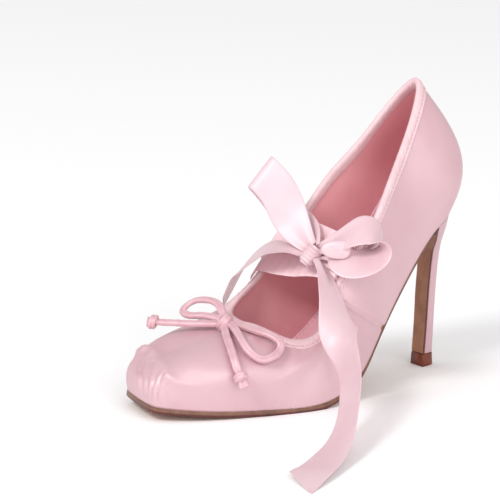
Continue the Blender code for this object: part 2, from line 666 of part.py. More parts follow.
def make_keeper():
    """Thread loop inside the outer topline: two feet on the wall and a bar over the ribbon's ends."""
    v = np.array(KEEPER_SPAN)
    inward = -last.normal(v, KEEPER_DEPTH, from_top=True)
    feet = last.wall(v, KEEPER_DEPTH, from_top=True) + inward * (WALL + GAP + KEEPER_RADIUS + 0.3)
    bar = feet.copy()
    bar[:, 0] = KEEPER_STAND
    bar[:, 2] += KEEPER_LIFT
    bend = feet + (bar - feet) * 0.6
    middle = bar.mean(axis=0)
    rows = [feet[0], bend[0], bar[0] * 0.85 + bar[1] * 0.15, middle, bar[0] * 0.15 + bar[1] * 0.85, bend[1], feet[1]]
    return make_cord("ribbon_keeper", rows, KEEPER_RADIUS, 14)


for old in list(bpy.data.objects):
    bpy.data.objects.remove(old, do_unlink=True)

shoe = bpy.data.collections.new("Stiletto pump")
bpy.context.scene.collection.children.link(shoe)

satin = material("Satin upper", (0.80, 0.56, 0.60), 0.42, 0.3)
binding_satin = material("Satin binding", (0.84, 0.62, 0.62), 0.45, 0.3)
heel_satin = material("Satin heel cover", (0.78, 0.54, 0.58), 0.42, 0.3)
ribbon_satin = material("Ribbon satin", (0.86, 0.64, 0.70), 0.38, 0.3)
cord_satin = material("Cord satin", (0.86, 0.55, 0.61), 0.42, 0.3)
leather = material("Tan sole leather", (0.32, 0.14, 0.075), 0.5)
rubber = material("Brown top piece", (0.20, 0.06, 0.03), 0.5)
sock_pink = material("Pale sock", (0.86, 0.56, 0.62), 0.55)

last = Last()
ring_set = heel_rings()
make_upper()
make_outsole(ring_set)
make_insole()
make_heel(ring_set)
make_top_piece()
make_binding()
make_band("ribbon_band_lower", BAND_LOWER)
make_band("ribbon_band_upper", BAND_UPPER)
make_keeper()
make_knot("ribbon_knot", RIBBON_KNOT, RIBBON_KNOT_SIZE, ribbon_satin, turn=20)
make_ribbon("ribbon_loop_medial", RIBBON_LOOP_MEDIAL, 28)
make_ribbon("ribbon_loop_lateral", RIBBON_LOOP_LATERAL, 28)
make_ribbon("ribbon_tail_long", RIBBON_TAIL_LONG, 34, clear_both=False)
make_ribbon("ribbon_tail_short", RIBBON_TAIL_SHORT, 22, clear_both=False)
make_knot("bow_knot", BOW_KNOT, BOW_KNOT_SIZE, cord_satin)
make_cord("bow_loop_medial", BOW_LOOP_MEDIAL, CORD_RADIUS, 20, BOW_KNOT, BOW_CLEAR, both=True)
make_cord("bow_loop_lateral", BOW_LOOP_LATERAL, CORD_RADIUS, 30, BOW_KNOT, BOW_CLEAR, both=True)
make_cord("bow_tail_medial", BOW_TAIL_MEDIAL, CORD_RADIUS, 9, BOW_KNOT, BOW_CLEAR)
make_cord("bow_tail_vamp", BOW_TAIL_VAMP, CORD_RADIUS, 15, BOW_KNOT, BOW_CLEAR)
make_end_knot("bow_tip_medial", BOW_TAIL_MEDIAL)
make_end_knot("bow_tip_vamp", BOW_TAIL_VAMP)
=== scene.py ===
import math

import bpy
import numpy as np
from mathutils import Matrix


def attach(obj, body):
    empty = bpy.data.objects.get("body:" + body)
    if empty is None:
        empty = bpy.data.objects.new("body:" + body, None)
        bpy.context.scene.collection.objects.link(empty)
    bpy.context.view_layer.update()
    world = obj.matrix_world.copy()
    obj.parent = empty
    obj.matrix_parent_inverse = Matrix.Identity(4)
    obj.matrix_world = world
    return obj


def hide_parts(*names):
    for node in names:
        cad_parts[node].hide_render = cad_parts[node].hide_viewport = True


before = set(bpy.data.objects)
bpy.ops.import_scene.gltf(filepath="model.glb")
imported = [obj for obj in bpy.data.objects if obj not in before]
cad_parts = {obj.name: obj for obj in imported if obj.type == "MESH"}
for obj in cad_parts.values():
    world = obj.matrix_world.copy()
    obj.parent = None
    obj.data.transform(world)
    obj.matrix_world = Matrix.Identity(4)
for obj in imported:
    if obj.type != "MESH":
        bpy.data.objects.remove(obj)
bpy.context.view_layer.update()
bpy.ops.object.select_all(action="DESELECT")
mm = 0.001
clothUnit = 100  # millimetres of cloth to one unit of uv, so that patterns can be given in real sizes
print("stage: frame loaded")

# Camera: three-quarter view on the outer side, from a little above the instep
cameraSetup = {"place": (1.40224, -1.05559, 0.48764), "around": 53.95, "down": 13.22, "roll": 0.275, "lens": 245.17,
               "sensor": 36, "far": 60}


def addCamera(setup):
    bpy.ops.object.camera_add(location=setup["place"])
    made = bpy.context.object
    made.name = "shoeCamera"
    turn = Matrix.Rotation(math.radians(setup["around"]), 4, "Z")
    tilt = Matrix.Rotation(math.radians(90 - setup["down"]), 4, "X")
    roll = Matrix.Rotation(math.radians(setup["roll"]), 4, "Z")
    made.matrix_world = Matrix.Translation(setup["place"]) @ turn @ tilt @ roll
    made.data.lens = setup["lens"]
    made.data.sensor_width = setup["sensor"]
    made.data.clip_end = setup["far"]
    bpy.context.scene.camera = made


addCamera(cameraSetup)

# Helpers for smooth lines
shoeOrigin = (0.75, 99.85, 0)  # tables are in shoe millimetres: x, along from the toe, height


def inFrame(points):
    return (np.asarray(points, float) - shoeOrigin) * mm


def unit(rows):
    return rows / np.maximum(np.linalg.norm(rows, axis=-1, keepdims=True), 1e-12)


def smoothRows(knots, values, closed=False):
    # a smooth curve through rows of numbers: call the result with places, and 1 for its slope
    knots = np.asarray(knots, float)
    values = np.asarray(values, float)
    gaps = np.diff(knots)
    slopes = np.diff(values, axis=0) / gaps[:, None]
    count = len(gaps) if closed else len(knots)
    system = np.zeros((count, count))
    target = np.zeros((count, values.shape[1]))
    for row in range(count):
        if not closed and row in (0, count - 1):
            system[row, row] = 1.0
            continue
        system[row, row - 1] += gaps[row - 1]
        system[row, row] += 2 * (gaps[row - 1] + gaps[row])
        system[row, (row + 1) % count] += gaps[row]
        target[row] = 6 * (slopes[row] - slopes[row - 1])
    bends = np.linalg.solve(system, target)
    if closed:
        bends = np.vstack([bends, bends[:1]])

    def at(places, order=0):
        places = np.atleast_1d(np.asarray(places, float))
        i = np.clip(np.searchsorted(knots, places, side="right") - 1, 0, len(gaps) - 1)
        h = gaps[i][:, None]
        b = (places - knots[i])[:, None] / h
        a = 1 - b
        if order:
            pull = (3 * b * b - 1) * bends[i + 1] - (3 * a * a - 1) * bends[i]
            return (values[i + 1] - values[i]) / h + pull * h / 6
        pull = (a**3 - a) * bends[i] + (b**3 - b) * bends[i + 1]
        return a * values[i] + b * values[i + 1] + pull * h * h / 6

    return at


def squareTo(rows, run):
    # what is left of each row at right angles to the run
    return unit(rows - (rows * run).sum(axis=1, keepdims=True) * run)


def runningLength(points):
    # how far along its line each point lies
    return np.concatenate([[0], np.cumsum(np.linalg.norm(np.diff(points, axis=0), axis=1))])


def atStops(stops, arc, rows):
    return np.stack([np.interp(stops, arc, rows[:, k]) for k in range(3)], axis=1)


def smoothPath(points, count):
    points = np.asarray(points, float)
    knots = runningLength(points[:, :3])
    return smoothRows(knots, points)(np.linspace(0, knots[-1], count))


def lengthOf(points):
    return float(np.linalg.norm(np.diff(points, axis=0), axis=1).sum())


def ease(x, low, high):
    s = np.clip((np.asarray(x, float) - low) / (high - low), 0, 1)
    return s * s * (3 - 2 * s)


def hump(x, centre, width):
    return np.exp(-(((np.asarray(x, float) - centre) / width) ** 2))


# Helpers for meshes
def makeMesh(name, points, faces, loopUv=None):
    # points in shoe millimetres
    mesh = bpy.data.meshes.new(name)
    mesh.from_pydata(inFrame(points).tolist(), [], faces)
    if loopUv is not None:
        layer = mesh.uv_layers.new(name="Cloth")
        layer.data.foreach_set("uv", np.asarray(loopUv, np.float32).ravel())
    mesh.shade_smooth()
    made = bpy.data.objects.new(name, mesh)
    bpy.context.scene.collection.objects.link(made)
    return made


def gridFaces(rows, columns, wrapRows, wrapColumns):
    i, j = np.meshgrid(np.arange(rows if wrapRows else rows - 1), np.arange(columns if wrapColumns else columns - 1),
                       indexing="ij")
    i, j = i.ravel(), j.ravel()
    below, right = (i + 1) % rows, (j + 1) % columns
    faces = np.stack([i * columns + j, i * columns + right, below * columns + right, below * columns + j], axis=1)
    corners = np.stack([np.stack([i, j], 1), np.stack([i, j + 1], 1), np.stack([i + 1, j + 1], 1),
                        np.stack([i + 1, j], 1)], axis=1)
    return faces, corners


def turnedOut(points, faces):
    a, b, c, d = (points[faces[:, k]] for k in range(4))
    volume = (np.cross(a, b) * c).sum() + (np.cross(a, c) * d).sum()
    return volume > 0


def gridPiece(name, grid, wrapRows=False, wrapColumns=False, caps=False, u=None):
    # a cloth surface from a grid of points; a grid that wraps both ways, or has caps, is a closed solid
    rows, columns = grid.shape[:2]
    points = grid.reshape(-1, 3)
    faces, corners = gridFaces(rows, columns, wrapRows, wrapColumns)
    if u is None:
        across = np.linalg.norm(np.diff(np.concatenate([grid, grid[:, :1]], axis=1), axis=1), axis=2).mean(axis=0)
        u = np.concatenate([[0], np.cumsum(across)]) / clothUnit
    down = np.linalg.norm(np.diff(np.concatenate([grid, grid[:1]], axis=0), axis=0), axis=2).mean(axis=1)
    v = np.concatenate([[0], np.cumsum(down)]) / clothUnit
    loopUv = np.stack([np.asarray(u)[corners[..., 1]], v[corners[..., 0]]], axis=-1)
    if not turnedOut(points, faces):
        faces = faces[:, ::-1]
        loopUv = loopUv[:, ::-1]
    faces = faces.tolist()
    loopUv = loopUv.reshape(-1, 2).tolist()
    for row in (0, rows - 1) if caps else ():
        ring = list(range(row * columns, (row + 1) * columns))
        rim = points[ring]
        middle = rim.mean(axis=0)
        inward = grid[1 if row == 0 else rows - 2].mean(axis=0) - middle
        turn = np.cross(rim - middle, np.roll(rim, -1, axis=0) - middle).sum(axis=0)
        faces.append(ring[::-1] if turn @ inward > 0 else ring)
        loopUv += [[0, 0]] * len(ring)
    return makeMesh(name, points, faces, loopUv)


def sweep(name, centre, upward, section, widths=1.0, closed=False):
    # a strand: a section of (side, up) millimetres carried along a line, capped, or closed if it ends where it begins
    ahead = np.roll(centre, -1, axis=0) - np.roll(centre, 1, axis=0) if closed else np.gradient(centre, axis=0)
    run = unit(ahead)
    up = squareTo(upward, run)
    side = np.cross(run, up)
    scale = np.broadcast_to(widths, len(centre))
    grid = centre[:, None] + scale[:, None, None] * (
        side[:, None] * section[None, :, 0:1] + up[:, None] * section[None, :, 1:2])
    return gridPiece(name, grid, wrapRows=closed, wrapColumns=True, caps=not closed)


def thickSheet(name, grid, thickness):
    # a closed strip from its middle surface: top face, rounded edge, bottom face
    half = thickness / 2
    out = unit(np.cross(np.gradient(grid, axis=0), np.gradient(grid, axis=1)))
    edge = unit(np.gradient(grid, axis=1))
    left, right = grid[:, :1] - edge[:, :1] * half, grid[:, -1:] + edge[:, -1:] * half
    top, low = grid + out * half, grid - out * half
    ring = np.concatenate([left, top, right, low[:, ::-1]], axis=1)
    # 0 to 1 across the strip and back again underneath, so that its warp comes out about as fine as it is
    share = np.linspace(0, 1, grid.shape[1])
    across = np.concatenate([[0], share, [1], share[::-1], [0]])
    return gridPiece(name, ring, wrapColumns=True, caps=True, u=across)


def copyAlong(name, base, places, alongDirections, upDirections):
    # one shape modelled once and copied to each place, as one piece
    points = np.array([v.co for v in base.data.vertices], float) / mm
    faces = [list(p.vertices) for p in base.data.polygons]
    run = unit(alongDirections)
    up = squareTo(upDirections, run)
    side = np.cross(run, up)
    allPoints, allFaces = [], []
    for k in range(len(places)):
        allPoints.append(places[k] + points @ np.stack([run[k], side[k], up[k]]))
        allFaces += [[index + k * len(points) for index in face] for face in faces]
    bpy.data.objects.remove(base, do_unlink=True)
    return makeMesh(name, np.vstack(allPoints), allFaces)


def selectOnly(piece=None):
    bpy.ops.object.select_all(action="DESELECT")
    if piece is not None:
        piece.select_set(True)
        bpy.context.view_layer.objects.active = piece


def dress(piece, slotName, looks, *nodes):
    # the last step of every piece: materials, body, and the CAD solids it stands for
    piece.data.materials.clear()
    for look in [looks] if isinstance(looks, str) else looks:
        piece.data.materials.append(finishes[look])
    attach(piece, "root")
    if nodes:
        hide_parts(*nodes)
    return piece


def stitchRow(name, slotName, places, alongDirections, upDirections, look):
    # thread stitches, each sunk at both ends
    selectOnly()
    bpy.ops.mesh.primitive_uv_sphere_add(segments=8, ring_count=6, radius=mm / 2)
    stitch = bpy.context.object
    stitch.scale = (look["length"], look["width"], look["width"] * 0.9)
    bpy.ops.object.transform_apply(location=False, rotation=False, scale=True)
    # the thread's darker colour is partly painted shade, for the shade in its needle holes
    dress(copyAlong(name, stitch, places, alongDirections, upDirections), slotName, "sewingThreadSpun")


# Materials
def toLinear(hexColour):
    parts = [int(hexColour[k:k + 2], 16) / 255 for k in (1, 3, 5)]
    return [c / 12.92 if c <= 0.04045 else ((c + 0.055) / 1.055) ** 2.4 for c in parts] + [1.0]


def addNode(tree, kind, settings=None, links=None):
    node = tree.nodes.new(kind)
    for key, value in (settings or {}).items():
        if isinstance(key, int) or key in node.inputs:
            node.inputs[key].default_value = value
        else:
            setattr(node, key, value)
    for key, source in (links or {}).items():
        tree.links.new(source, node.inputs[key])
    return node


def newMaterial(name):
    made = bpy.data.materials.new(name)
    made.use_nodes = True
    tree = made.node_tree
    return made, tree, tree.nodes["Principled BSDF"]


def cloudedColour(tree, place, look):
    # two close tones in soft clouds, as dyed cloth and leather have
    clouds = addNode(tree, "ShaderNodeTexNoise", {"Scale": 1 / (look["cloud"] * mm), "Detail": 2.0},
                     {"Vector": place.outputs["Object"]})
    tones = addNode(tree, "ShaderNodeValToRGB", links={"Fac": clouds.outputs["Fac"]})
    for element, position, colour in zip(tones.color_ramp.elements, (0.35, 0.65), (look["deep"], look["face"])):
        element.position = position
        element.color = toLinear(colour)
    return tones.outputs["Color"]


def satinMaterial(name, look):
    made, tree, surface = newMaterial(name)
    uv = addNode(tree, "ShaderNodeUVMap", {"uv_map": "Cloth"})
    place = addNode(tree, "ShaderNodeTexCoord")
    # warp threads lie 0.1 mm apart and float over 7 or 8 wefts; drawn about four times as coarse, so that they show
    fineness = (clothUnit / look["thread"], clothUnit / (look["thread"] * look["floatOver"]), 1)
    threads = addNode(tree, "ShaderNodeMapping", {"Scale": fineness}, {"Vector": uv.outputs["UV"]})
    weave = addNode(tree, "ShaderNodeTexNoise", {"Scale": 1.0, "Detail": 2.0, "Roughness": 0.6},
                    {"Vector": threads.outputs["Vector"]})
    threadTone = addNode(tree, "ShaderNodeMix", {"data_type": "RGBA", "blend_type": "SOFT_LIGHT", 0: look["grainTone"]},
                         {6: cloudedColour(tree, place, look), 7: weave.outputs["Color"]})
    tree.links.new(threadTone.outputs[2], surface.inputs["Base Color"])
    dull, swing = look["gloss"], look["glossSwing"]
    gloss = addNode(tree, "ShaderNodeMapRange", {"From Min": 0.3, "From Max": 0.7, "To Min": dull - swing,
                                                 "To Max": dull + swing}, {"Value": weave.outputs["Fac"]})
    tree.links.new(gloss.outputs["Result"], surface.inputs["Roughness"])
    # soft dents a few millimetres across, where the cloth lies on its backing
    dents = addNode(tree, "ShaderNodeTexNoise", {"Scale": 1 / (look["dent"] * mm), "Detail": 1.0},
                    {"Vector": place.outputs["Object"]})
    soft = addNode(tree, "ShaderNodeBump", {"Strength": 1.0, "Distance": look["dentDeep"] * mm},
                   {"Height": dents.outputs["Fac"]})
    bump = addNode(tree, "ShaderNodeBump", {"Strength": look["bump"], "Distance": look["weaveDeep"] * mm},
                   {"Height": weave.outputs["Fac"], "Normal": soft.outputs["Normal"]})
    tree.links.new(bump.outputs["Normal"], surface.inputs["Normal"])
    for socket in ("IOR", "Specular IOR Level", "Coat Weight", "Coat Roughness", "Sheen Weight", "Sheen Roughness"):
        surface.inputs[socket].default_value = look[socket]
    return made


def leatherMaterial(name, look):
    made, tree, surface = newMaterial(name)
    place = addNode(tree, "ShaderNodeTexCoord")
    pores = addNode(tree, "ShaderNodeTexVoronoi", {"Scale": 1 / (look["grain"] * mm)},
                    {"Vector": place.outputs["Object"]})
    tree.links.new(cloudedColour(tree, place, look), surface.inputs["Base Color"])
    bump = addNode(tree, "ShaderNodeBump", {"Strength": look["bump"], "Distance": look["poreDeep"] * mm},
                   {"Height": pores.outputs["Distance"]})
    tree.links.new(bump.outputs["Normal"], surface.inputs["Normal"])
    surface.inputs["Roughness"].default_value = look["gloss"]
    surface.inputs["IOR"].default_value = look["IOR"]
    return made


# what every satin here shares, unless its own row says otherwise
# sizes in millimetres: thread drawn and its depth, cloud of tone, soft dent and its depth
satinBase = {"thread": 0.45, "floatOver": 8, "weaveDeep": 0.05, "dentDeep": 0.12, "bump": 0.3, "grainTone": 0.1,
             "glossSwing": 0.03, "IOR": 1.7, "Specular IOR Level": 0.7, "Coat Weight": 0.0, "Coat Roughness": 0.3,
             "Sheen Weight": 0.1, "Sheen Roughness": 0.4}
ribbonBase = {"thread": 0.4, "cloud": 26, "dent": 8, "bump": 0.22, "grainTone": 0.06, "IOR": 1.8,
              "Coat Roughness": 0.35}
satinLooks = {
    # duchess satin, woven with long silk floats: a broad white shine over a deeper pink
    "duchessSatinWoven": {"face": "#CB9FA7", "deep": "#C5969F", "cloud": 30, "dent": 9, "dentDeep": 0.1, "gloss": 0.5,
                          "IOR": 1.95, "Specular IOR Level": 0.85},
    # the same satin cut on the bias and padded: a little softer, because it is stretched; its colour is painted paler
    # than the upper's, as painted light on the binding where it lies in shade
    "biasSatinPadded": {"face": "#DFBFC3", "deep": "#D9B5BA", "cloud": 14, "dent": 6, "gloss": 0.48, "bump": 0.35,
                        "Sheen Weight": 0.15},
    # satin drawn tight and glued over the plastic heel: smooth, with a narrow long highlight
    "heelSatinDrawn": {"face": "#C59CA4", "deep": "#BE949C", "cloud": 20, "dent": 9, "dentDeep": 0.04, "gloss": 0.42,
                       "bump": 0.25, "Specular IOR Level": 0.8, "Sheen Weight": 0.05},
    # double-faced satin ribbon, woven to width: thin and glossy, so it turns nearly white where it faces the light
    "ribbonSatinWoven": {**ribbonBase, "face": "#DDBCC3", "deep": "#D7B1BA", "gloss": 0.52, "Specular IOR Level": 0.75,
                         "Coat Weight": 0.2, "Sheen Weight": 0.15},
    # the same ribbon doubled and drawn tight over the instep, with its colour painted paler and brighter: painted
    # light, for the light the bands lose in the shade of the loops
    "ribbonSatinDoubled": {**ribbonBase, "face": "#FAD6DC", "deep": "#F6CCD3", "gloss": 0.45, "Specular IOR Level": 0.9,
                           "Coat Weight": 0.5, "Sheen Weight": 0.3},
    # narrow satin strip folded and sewn into a cord: the same shine, broken up by its folds
    "cordSatinFolded": {"face": "#D6AAB2", "deep": "#CE9FA8", "thread": 0.35, "cloud": 6, "dent": 3, "gloss": 0.42,
                        "bump": 0.4, "grainTone": 0.15, "Sheen Weight": 0.2},
    # satin lining, woven thinner: deeper pink, and duller because little light gets in
    "liningSatinWoven": {"face": "#E8A8AD", "deep": "#E09EA4", "thread": 0.5, "cloud": 25, "dent": 10, "gloss": 0.6,
                         "IOR": 1.5, "Specular IOR Level": 0.4},
    # spun polyester sewing thread: small threads with a soft gloss, partly their own dusty pink and partly painted
    # darker than the cloth, as painted shade for the needle holes
    "sewingThreadSpun": {"face": "#CE9AA3", "deep": "#C28C96", "thread": 0.3, "cloud": 3, "dent": 2, "dentDeep": 0.02,
                         "gloss": 0.5, "bump": 0.4, "grainTone": 0.2, "IOR": 1.5, "Specular IOR Level": 0.5,
                         "Sheen Weight": 0.2},
}
# what the leathers and the rubber share; sizes in millimetres: pores and their depth, cloud of tone
leatherBase = {"poreDeep": 0.08, "IOR": 1.5}
leatherLooks = {
    # vegetable-tanned sole leather, rolled and polished: tan, with a low wide shine
    "soleLeatherRolled": {"face": "#AC7454", "deep": "#955F41", "grain": 0.5, "cloud": 9, "gloss": 0.45, "bump": 0.3},
    # the cut edge, stained and waxed: darker than the face, with a finer grain
    "soleEdgeWaxed": {"face": "#7C5543", "deep": "#664433", "grain": 0.4, "cloud": 5, "gloss": 0.4, "bump": 0.25},
    # ink run along the edge: a dark red line
    "edgeInkPainted": {"face": "#5E2A25", "deep": "#4A1F1C", "grain": 0.4, "cloud": 5, "gloss": 0.35, "bump": 0.2},
    # moulded rubber top piece: even red brown with a fine grain
    "rubberTopMoulded": {"face": "#7A3620", "deep": "#692C19", "grain": 0.3, "cloud": 4, "gloss": 0.45, "bump": 0.25},
    # glazed kid sock, drum-dyed: matt and smooth, paler than the lining
    "sockKidGlazed": {"face": "#EDBAC2", "deep": "#E6AFB9", "grain": 0.6, "cloud": 14, "gloss": 0.5, "bump": 0.3},
}
finishes = {name: satinMaterial(name, {**satinBase, **look}) for name, look in satinLooks.items()}
finishes.update({name: leatherMaterial(name, {**leatherBase, **look}) for name, look in leatherLooks.items()})
print("stage: materials")

# Cord bow at the throat
bowCord = {"width": 4.2, "thick": 3.0, "knot": (-2.0, 50.5, 42.4), "clear": 3.2, "rings": 150,
           "knotAxis": (0.54, 0.47, -0.68), "knotShift": (1.4, -1.0, 0.6), "wrapRings": 90,
           "innerStrand": (2.9, 2.4, 20), "endStrip": (4.0, 2.2), "endFace": (0.5, -0.35, 0.8), "endSpread": 1.55}
bowRoutes = {
    "bow_loop_medial": ((-7.0, 50.5, 44.6), (-16.0, 45.4, 44.3), (-23.0, 42.3, 43.4), (-28.0, 42.3, 44.6),
                        (-28.5, 47.0, 48.0), (-20.5, 52.0, 50.8), (-12.0, 53.5, 50.0), (-6.0, 52.6, 47.0)),
    "bow_loop_lateral": ((3.5, 52.8, 43.5), (9.5, 54.9, 42.1), (17.0, 56.2, 41.6), (23.7, 58.4, 41.1),
                         (28.7, 60.9, 39.4), (32.3, 62.0, 36.6), (34.0, 59.8, 33.7), (36.0, 54.0, 31.9),
                         (35.5, 48.0, 31.2), (31.5, 43.5, 34.4), (23.0, 43.6, 39.4), (11.0, 47.6, 42.6),
                         (3.5, 50.4, 43.8)),
    "bow_tail_medial": ((-5.8, 46.6, 41.4), (-14.0, 40.2, 41.0), (-22.0, 33.0, 40.8), (-29.0, 25.8, 40.8)),
    "bow_tail_vamp": ((1.5, 47.0, 42.0), (7.0, 44.5, 41.2), (14.0, 40.5, 39.8), (21.5, 37.0, 37.6),
                      (29.5, 33.6, 33.8), (34.4, 32.4, 29.2), (36.9, 33.0, 24.6)),
}
# a knot is a wrap round the strip, and a crossing of strands inside it; the cut end flares out of it
smallKnot = {"wrapRadius": 2.7, "wrapThick": 2.5, "wrapWidth": 3.9, "tilt": 0.8, "size": 0.72}
bowKnots = {
    "bow_knot": {"wrapRadius": 3.7, "wrapThick": 2.9, "wrapWidth": 4.6, "tilt": 0.7, "size": 1.15},
    "bow_tip_medial": {**smallKnot, "end": 3.2, "beyond": 1.6},
    "bow_tip_vamp": {**smallKnot, "end": 5.6, "beyond": 0.4},
}


def cordSection(width, thick, count=30):
    # a folded satin strip: flat, with round edges and a sewn groove along its face
    angle = np.linspace(0, 2 * math.pi, count, endpoint=False) + 0.05
    across = width / 2 * np.sign(np.cos(angle)) * np.abs(np.cos(angle)) ** 0.8
    up = thick / 2 * np.sign(np.sin(angle)) * np.abs(np.sin(angle)) ** 0.75
    groove = hump(across, width * 0.06, width * 0.07) * (np.sin(angle) > 0)
    return np.column_stack([across, up - thick * 0.2 * groove])


def makeKnot(name, centre, axis, look):
    axis = unit(np.asarray(axis, float))
    side = unit(np.cross(axis, (0.2, 0.1, 1)))
    third = np.cross(axis, side)
    t = np.linspace(0, 2 * math.pi, bowCord["wrapRings"], endpoint=False)[:, None]
    outward = np.cos(t) * side + np.sin(t) * third
    line = centre + outward * look["wrapRadius"] + axis * look["tilt"] * np.sin(t - 0.6)
    wrap = sweep(name + "_wrap", line, outward, cordSection(look["wrapWidth"], look["wrapThick"]), closed=True)
    # strands that cross three times, as in an overhand knot
    tie = np.hstack([np.sin(t) + 2 * np.sin(2 * t), np.cos(t) - 2 * np.cos(2 * t), -0.95 * np.sin(3 * t)])
    tie = tie * look["size"] @ np.stack([side, axis, third])
    inner = sweep(name + "_strands", centre + tie, tie, cordSection(*bowCord["innerStrand"]), closed=True)
    return [dress(wrap, "cord_satin", "cordSatinFolded", name), dress(inner, "cord_satin", "cordSatinFolded")]


def makeCutEnd(name, centre, axis, length):
    # the cut end of the strip, spread like a small fan
    line = centre + axis * np.linspace(0, length, 16)[:, None]
    spread = np.linspace(1, bowCord["endSpread"], len(line))
    face = np.tile(bowCord["endFace"], (len(line), 1))
    end = sweep(name + "_end", line, face, cordSection(*bowCord["endStrip"]), spread)
    return dress(end, "cord_satin", "cordSatinFolded")


def makeBow(cord):
    knotPlace = np.array(cord["knot"])
    section = cordSection(cord["width"], cord["thick"])
    for name, table in bowRoutes.items():
        farEnd = "knot" if "tail" in name else "object"
        rows = np.array(table, float)
        for end in (0,) if farEnd == "knot" else (0, -1):
            rows[end] = knotPlace + unit(rows[end] - knotPlace) * cord["clear"]
        line = smoothPath(rows, cord["rings"])
        share = np.linspace(0, 1, len(line))
        softness = 1 + 0.025 * np.sin(share * 31) + 0.02 * np.sin(share * 57 + 1)  # the strip isn't quite even
        outward = line - np.array([0, 75, -15])
        strand = sweep(name + "_strip", line, outward, section, softness)
        dress(strand, "cord_satin", "cordSatinFolded", name)
        extra = []
        if farEnd == "knot":
            tip = name.replace("tail", "tip")
            axis = unit(rows[-1] - rows[-2])
            centre = rows[-1] + axis * bowKnots[tip]["beyond"]
            extra = makeKnot(tip, centre, axis, bowKnots[tip]) + [makeCutEnd(tip, centre, axis, bowKnots[tip]["end"])]
    makeKnot("bow_knot", knotPlace + cord["knotShift"], cord["knotAxis"], bowKnots["bow_knot"])


makeBow(bowCord)
print("stage: cord bow")

# Wide ribbon
ribbon = {"width": 20.0, "thick": 0.42, "knot": (12.0, 96.4, 74.8), "clear": 5.2, "across": 19, "narrowest": 5,
          "gather": 1.7, "ripple": 0.22, "rippleLong": 9, "cutLong": 30, "offFloor": 0.5}
# centre, direction of the width, width
ribbonRoutes = {
    "ribbon_loop_medial": (
        (8.0, 98.9, 80.0, 0.21, 0.42, 0.88, 8), (1.5, 96.6, 85.2, 0.3, 0.6, 0.75, 15),
        (-5.0, 95.8, 91.8, 0.2, 0.59, 0.78, 19), (-12.0, 94.5, 102.5, 0.2, 0.6, 0.8, 20),
        (-19.0, 92.0, 110.5, 0.2, 0.6, 0.8, 20), (-25.5, 90.5, 114.5, 0.2, 0.6, 0.8, 20),
        (-28.5, 93.5, 112.5, 0.2, 0.6, 0.8, 20), (-26.5, 98.5, 106.0, 0.3, 0.6, 0.7, 20),
        (-21.0, 102.5, 97.5, 0.3, 0.6, 0.7, 20), (-12.5, 103.5, 90.0, 0.3, 0.7, 0.7, 17),
        (-1.5, 103.8, 86.0, 0.29, 0.68, 0.68, 14), (9.8, 101.8, 80.6, 0.21, 0.52, 0.83, 8)),
    "ribbon_loop_lateral": (
        (14.6, 102.0, 79.6, 0.54, -0.54, -0.65, 6), (23.0, 104.5, 83.5, 0.61, -0.51, -0.61, 13),
        (29.5, 108.0, 87.8, 0.66, -0.47, -0.59, 17), (34.5, 112.7, 90.8, 0.66, -0.47, -0.59, 20),
        (37.5, 117.7, 90.2, 0.66, -0.47, -0.59, 20), (39.5, 120.5, 84.5, 0.66, -0.47, -0.59, 20),
        (41.0, 116.5, 78.1, 0.66, -0.47, -0.59, 20), (38.6, 109.2, 74.1, 0.66, -0.47, -0.59, 19),
        (32.3, 104.2, 74.4, 0.6, -0.45, -0.66, 18), (24.5, 102.4, 78.0, 0.5, -0.4, -0.77, 12),
        (15.6, 102.6, 75.6, 0.5, -0.4, -0.77, 6)),
    "ribbon_tail_long": (
        (18.2, 97.6, 73.2, -0.49, 0.85, -0.21, 6), (27.8, 94.5, 67.5, -0.51, 0.86, -0.07, 12),
        (35.3, 91.6, 61.6, -0.6, 0.76, 0.25, 18), (43.4, 87.9, 54.0, -0.62, 0.64, 0.46, 20),
        (51.7, 84.1, 46.6, -0.57, 0.6, 0.56, 20), (59.6, 80.9, 40.6, -0.4, 0.52, 0.76, 20),
        (68.2, 77.6, 35.0, 0.05, 0.37, 0.93, 20), (80.8, 70.3, 26.3, 0.27, 0.35, 0.9, 20),
        (105.2, 46.8, 9.9, 0.56, 0.51, 0.65, 20), (123.9, 22.3, 3.6, 0.69, 0.7, 0.2, 20),
        (135.9, 3.9, 2.4, 0.69, 0.72, 0.01, 20), (142.7, -7.7, 1.5, 0.66, 0.75, -0.06, 20)),
    "ribbon_tail_short": (
        (6.3, 93.4, 75.2, -0.75, 0.61, 0.26, 7), (0.0, 91.6, 76.6, -0.77, 0.61, 0.18, 10),
        (-8.0, 89.4, 76.2, -0.81, 0.59, 0.09, 14), (-18.0, 88.8, 73.4, -0.83, 0.55, 0, 17),
        (-26.5, 87.4, 68.2, -0.84, 0.54, -0.11, 19), (-33.0, 85.6, 62.1, -0.8, 0.56, -0.21, 20),
        (-37.2, 83.3, 55.5, -0.71, 0.64, -0.29, 20), (-40.0, 80.7, 48.1, -0.7, 0.66, -0.29, 20),
        (-42.3, 78.1, 40.6, -0.71, 0.65, -0.28, 20)),
}
# where each strip is gathered into the knot, and how many folds it has there
ribbonFolds = {
    "ribbon_loop_medial": {"folds": 1.3, "rings": 190, "bothEnds": True, "depth": 0.9},
    "ribbon_loop_lateral": {"folds": 1.2, "rings": 180, "bothEnds": True, "depth": 0.9},
    "ribbon_tail_long": {"folds": 1.2, "rings": 300, "bothEnds": False, "depth": 1.0, "cut": 1.0},
    "ribbon_tail_short": {"folds": 1.1, "rings": 150, "bothEnds": False, "depth": 0.7, "cut": 0.6},
}


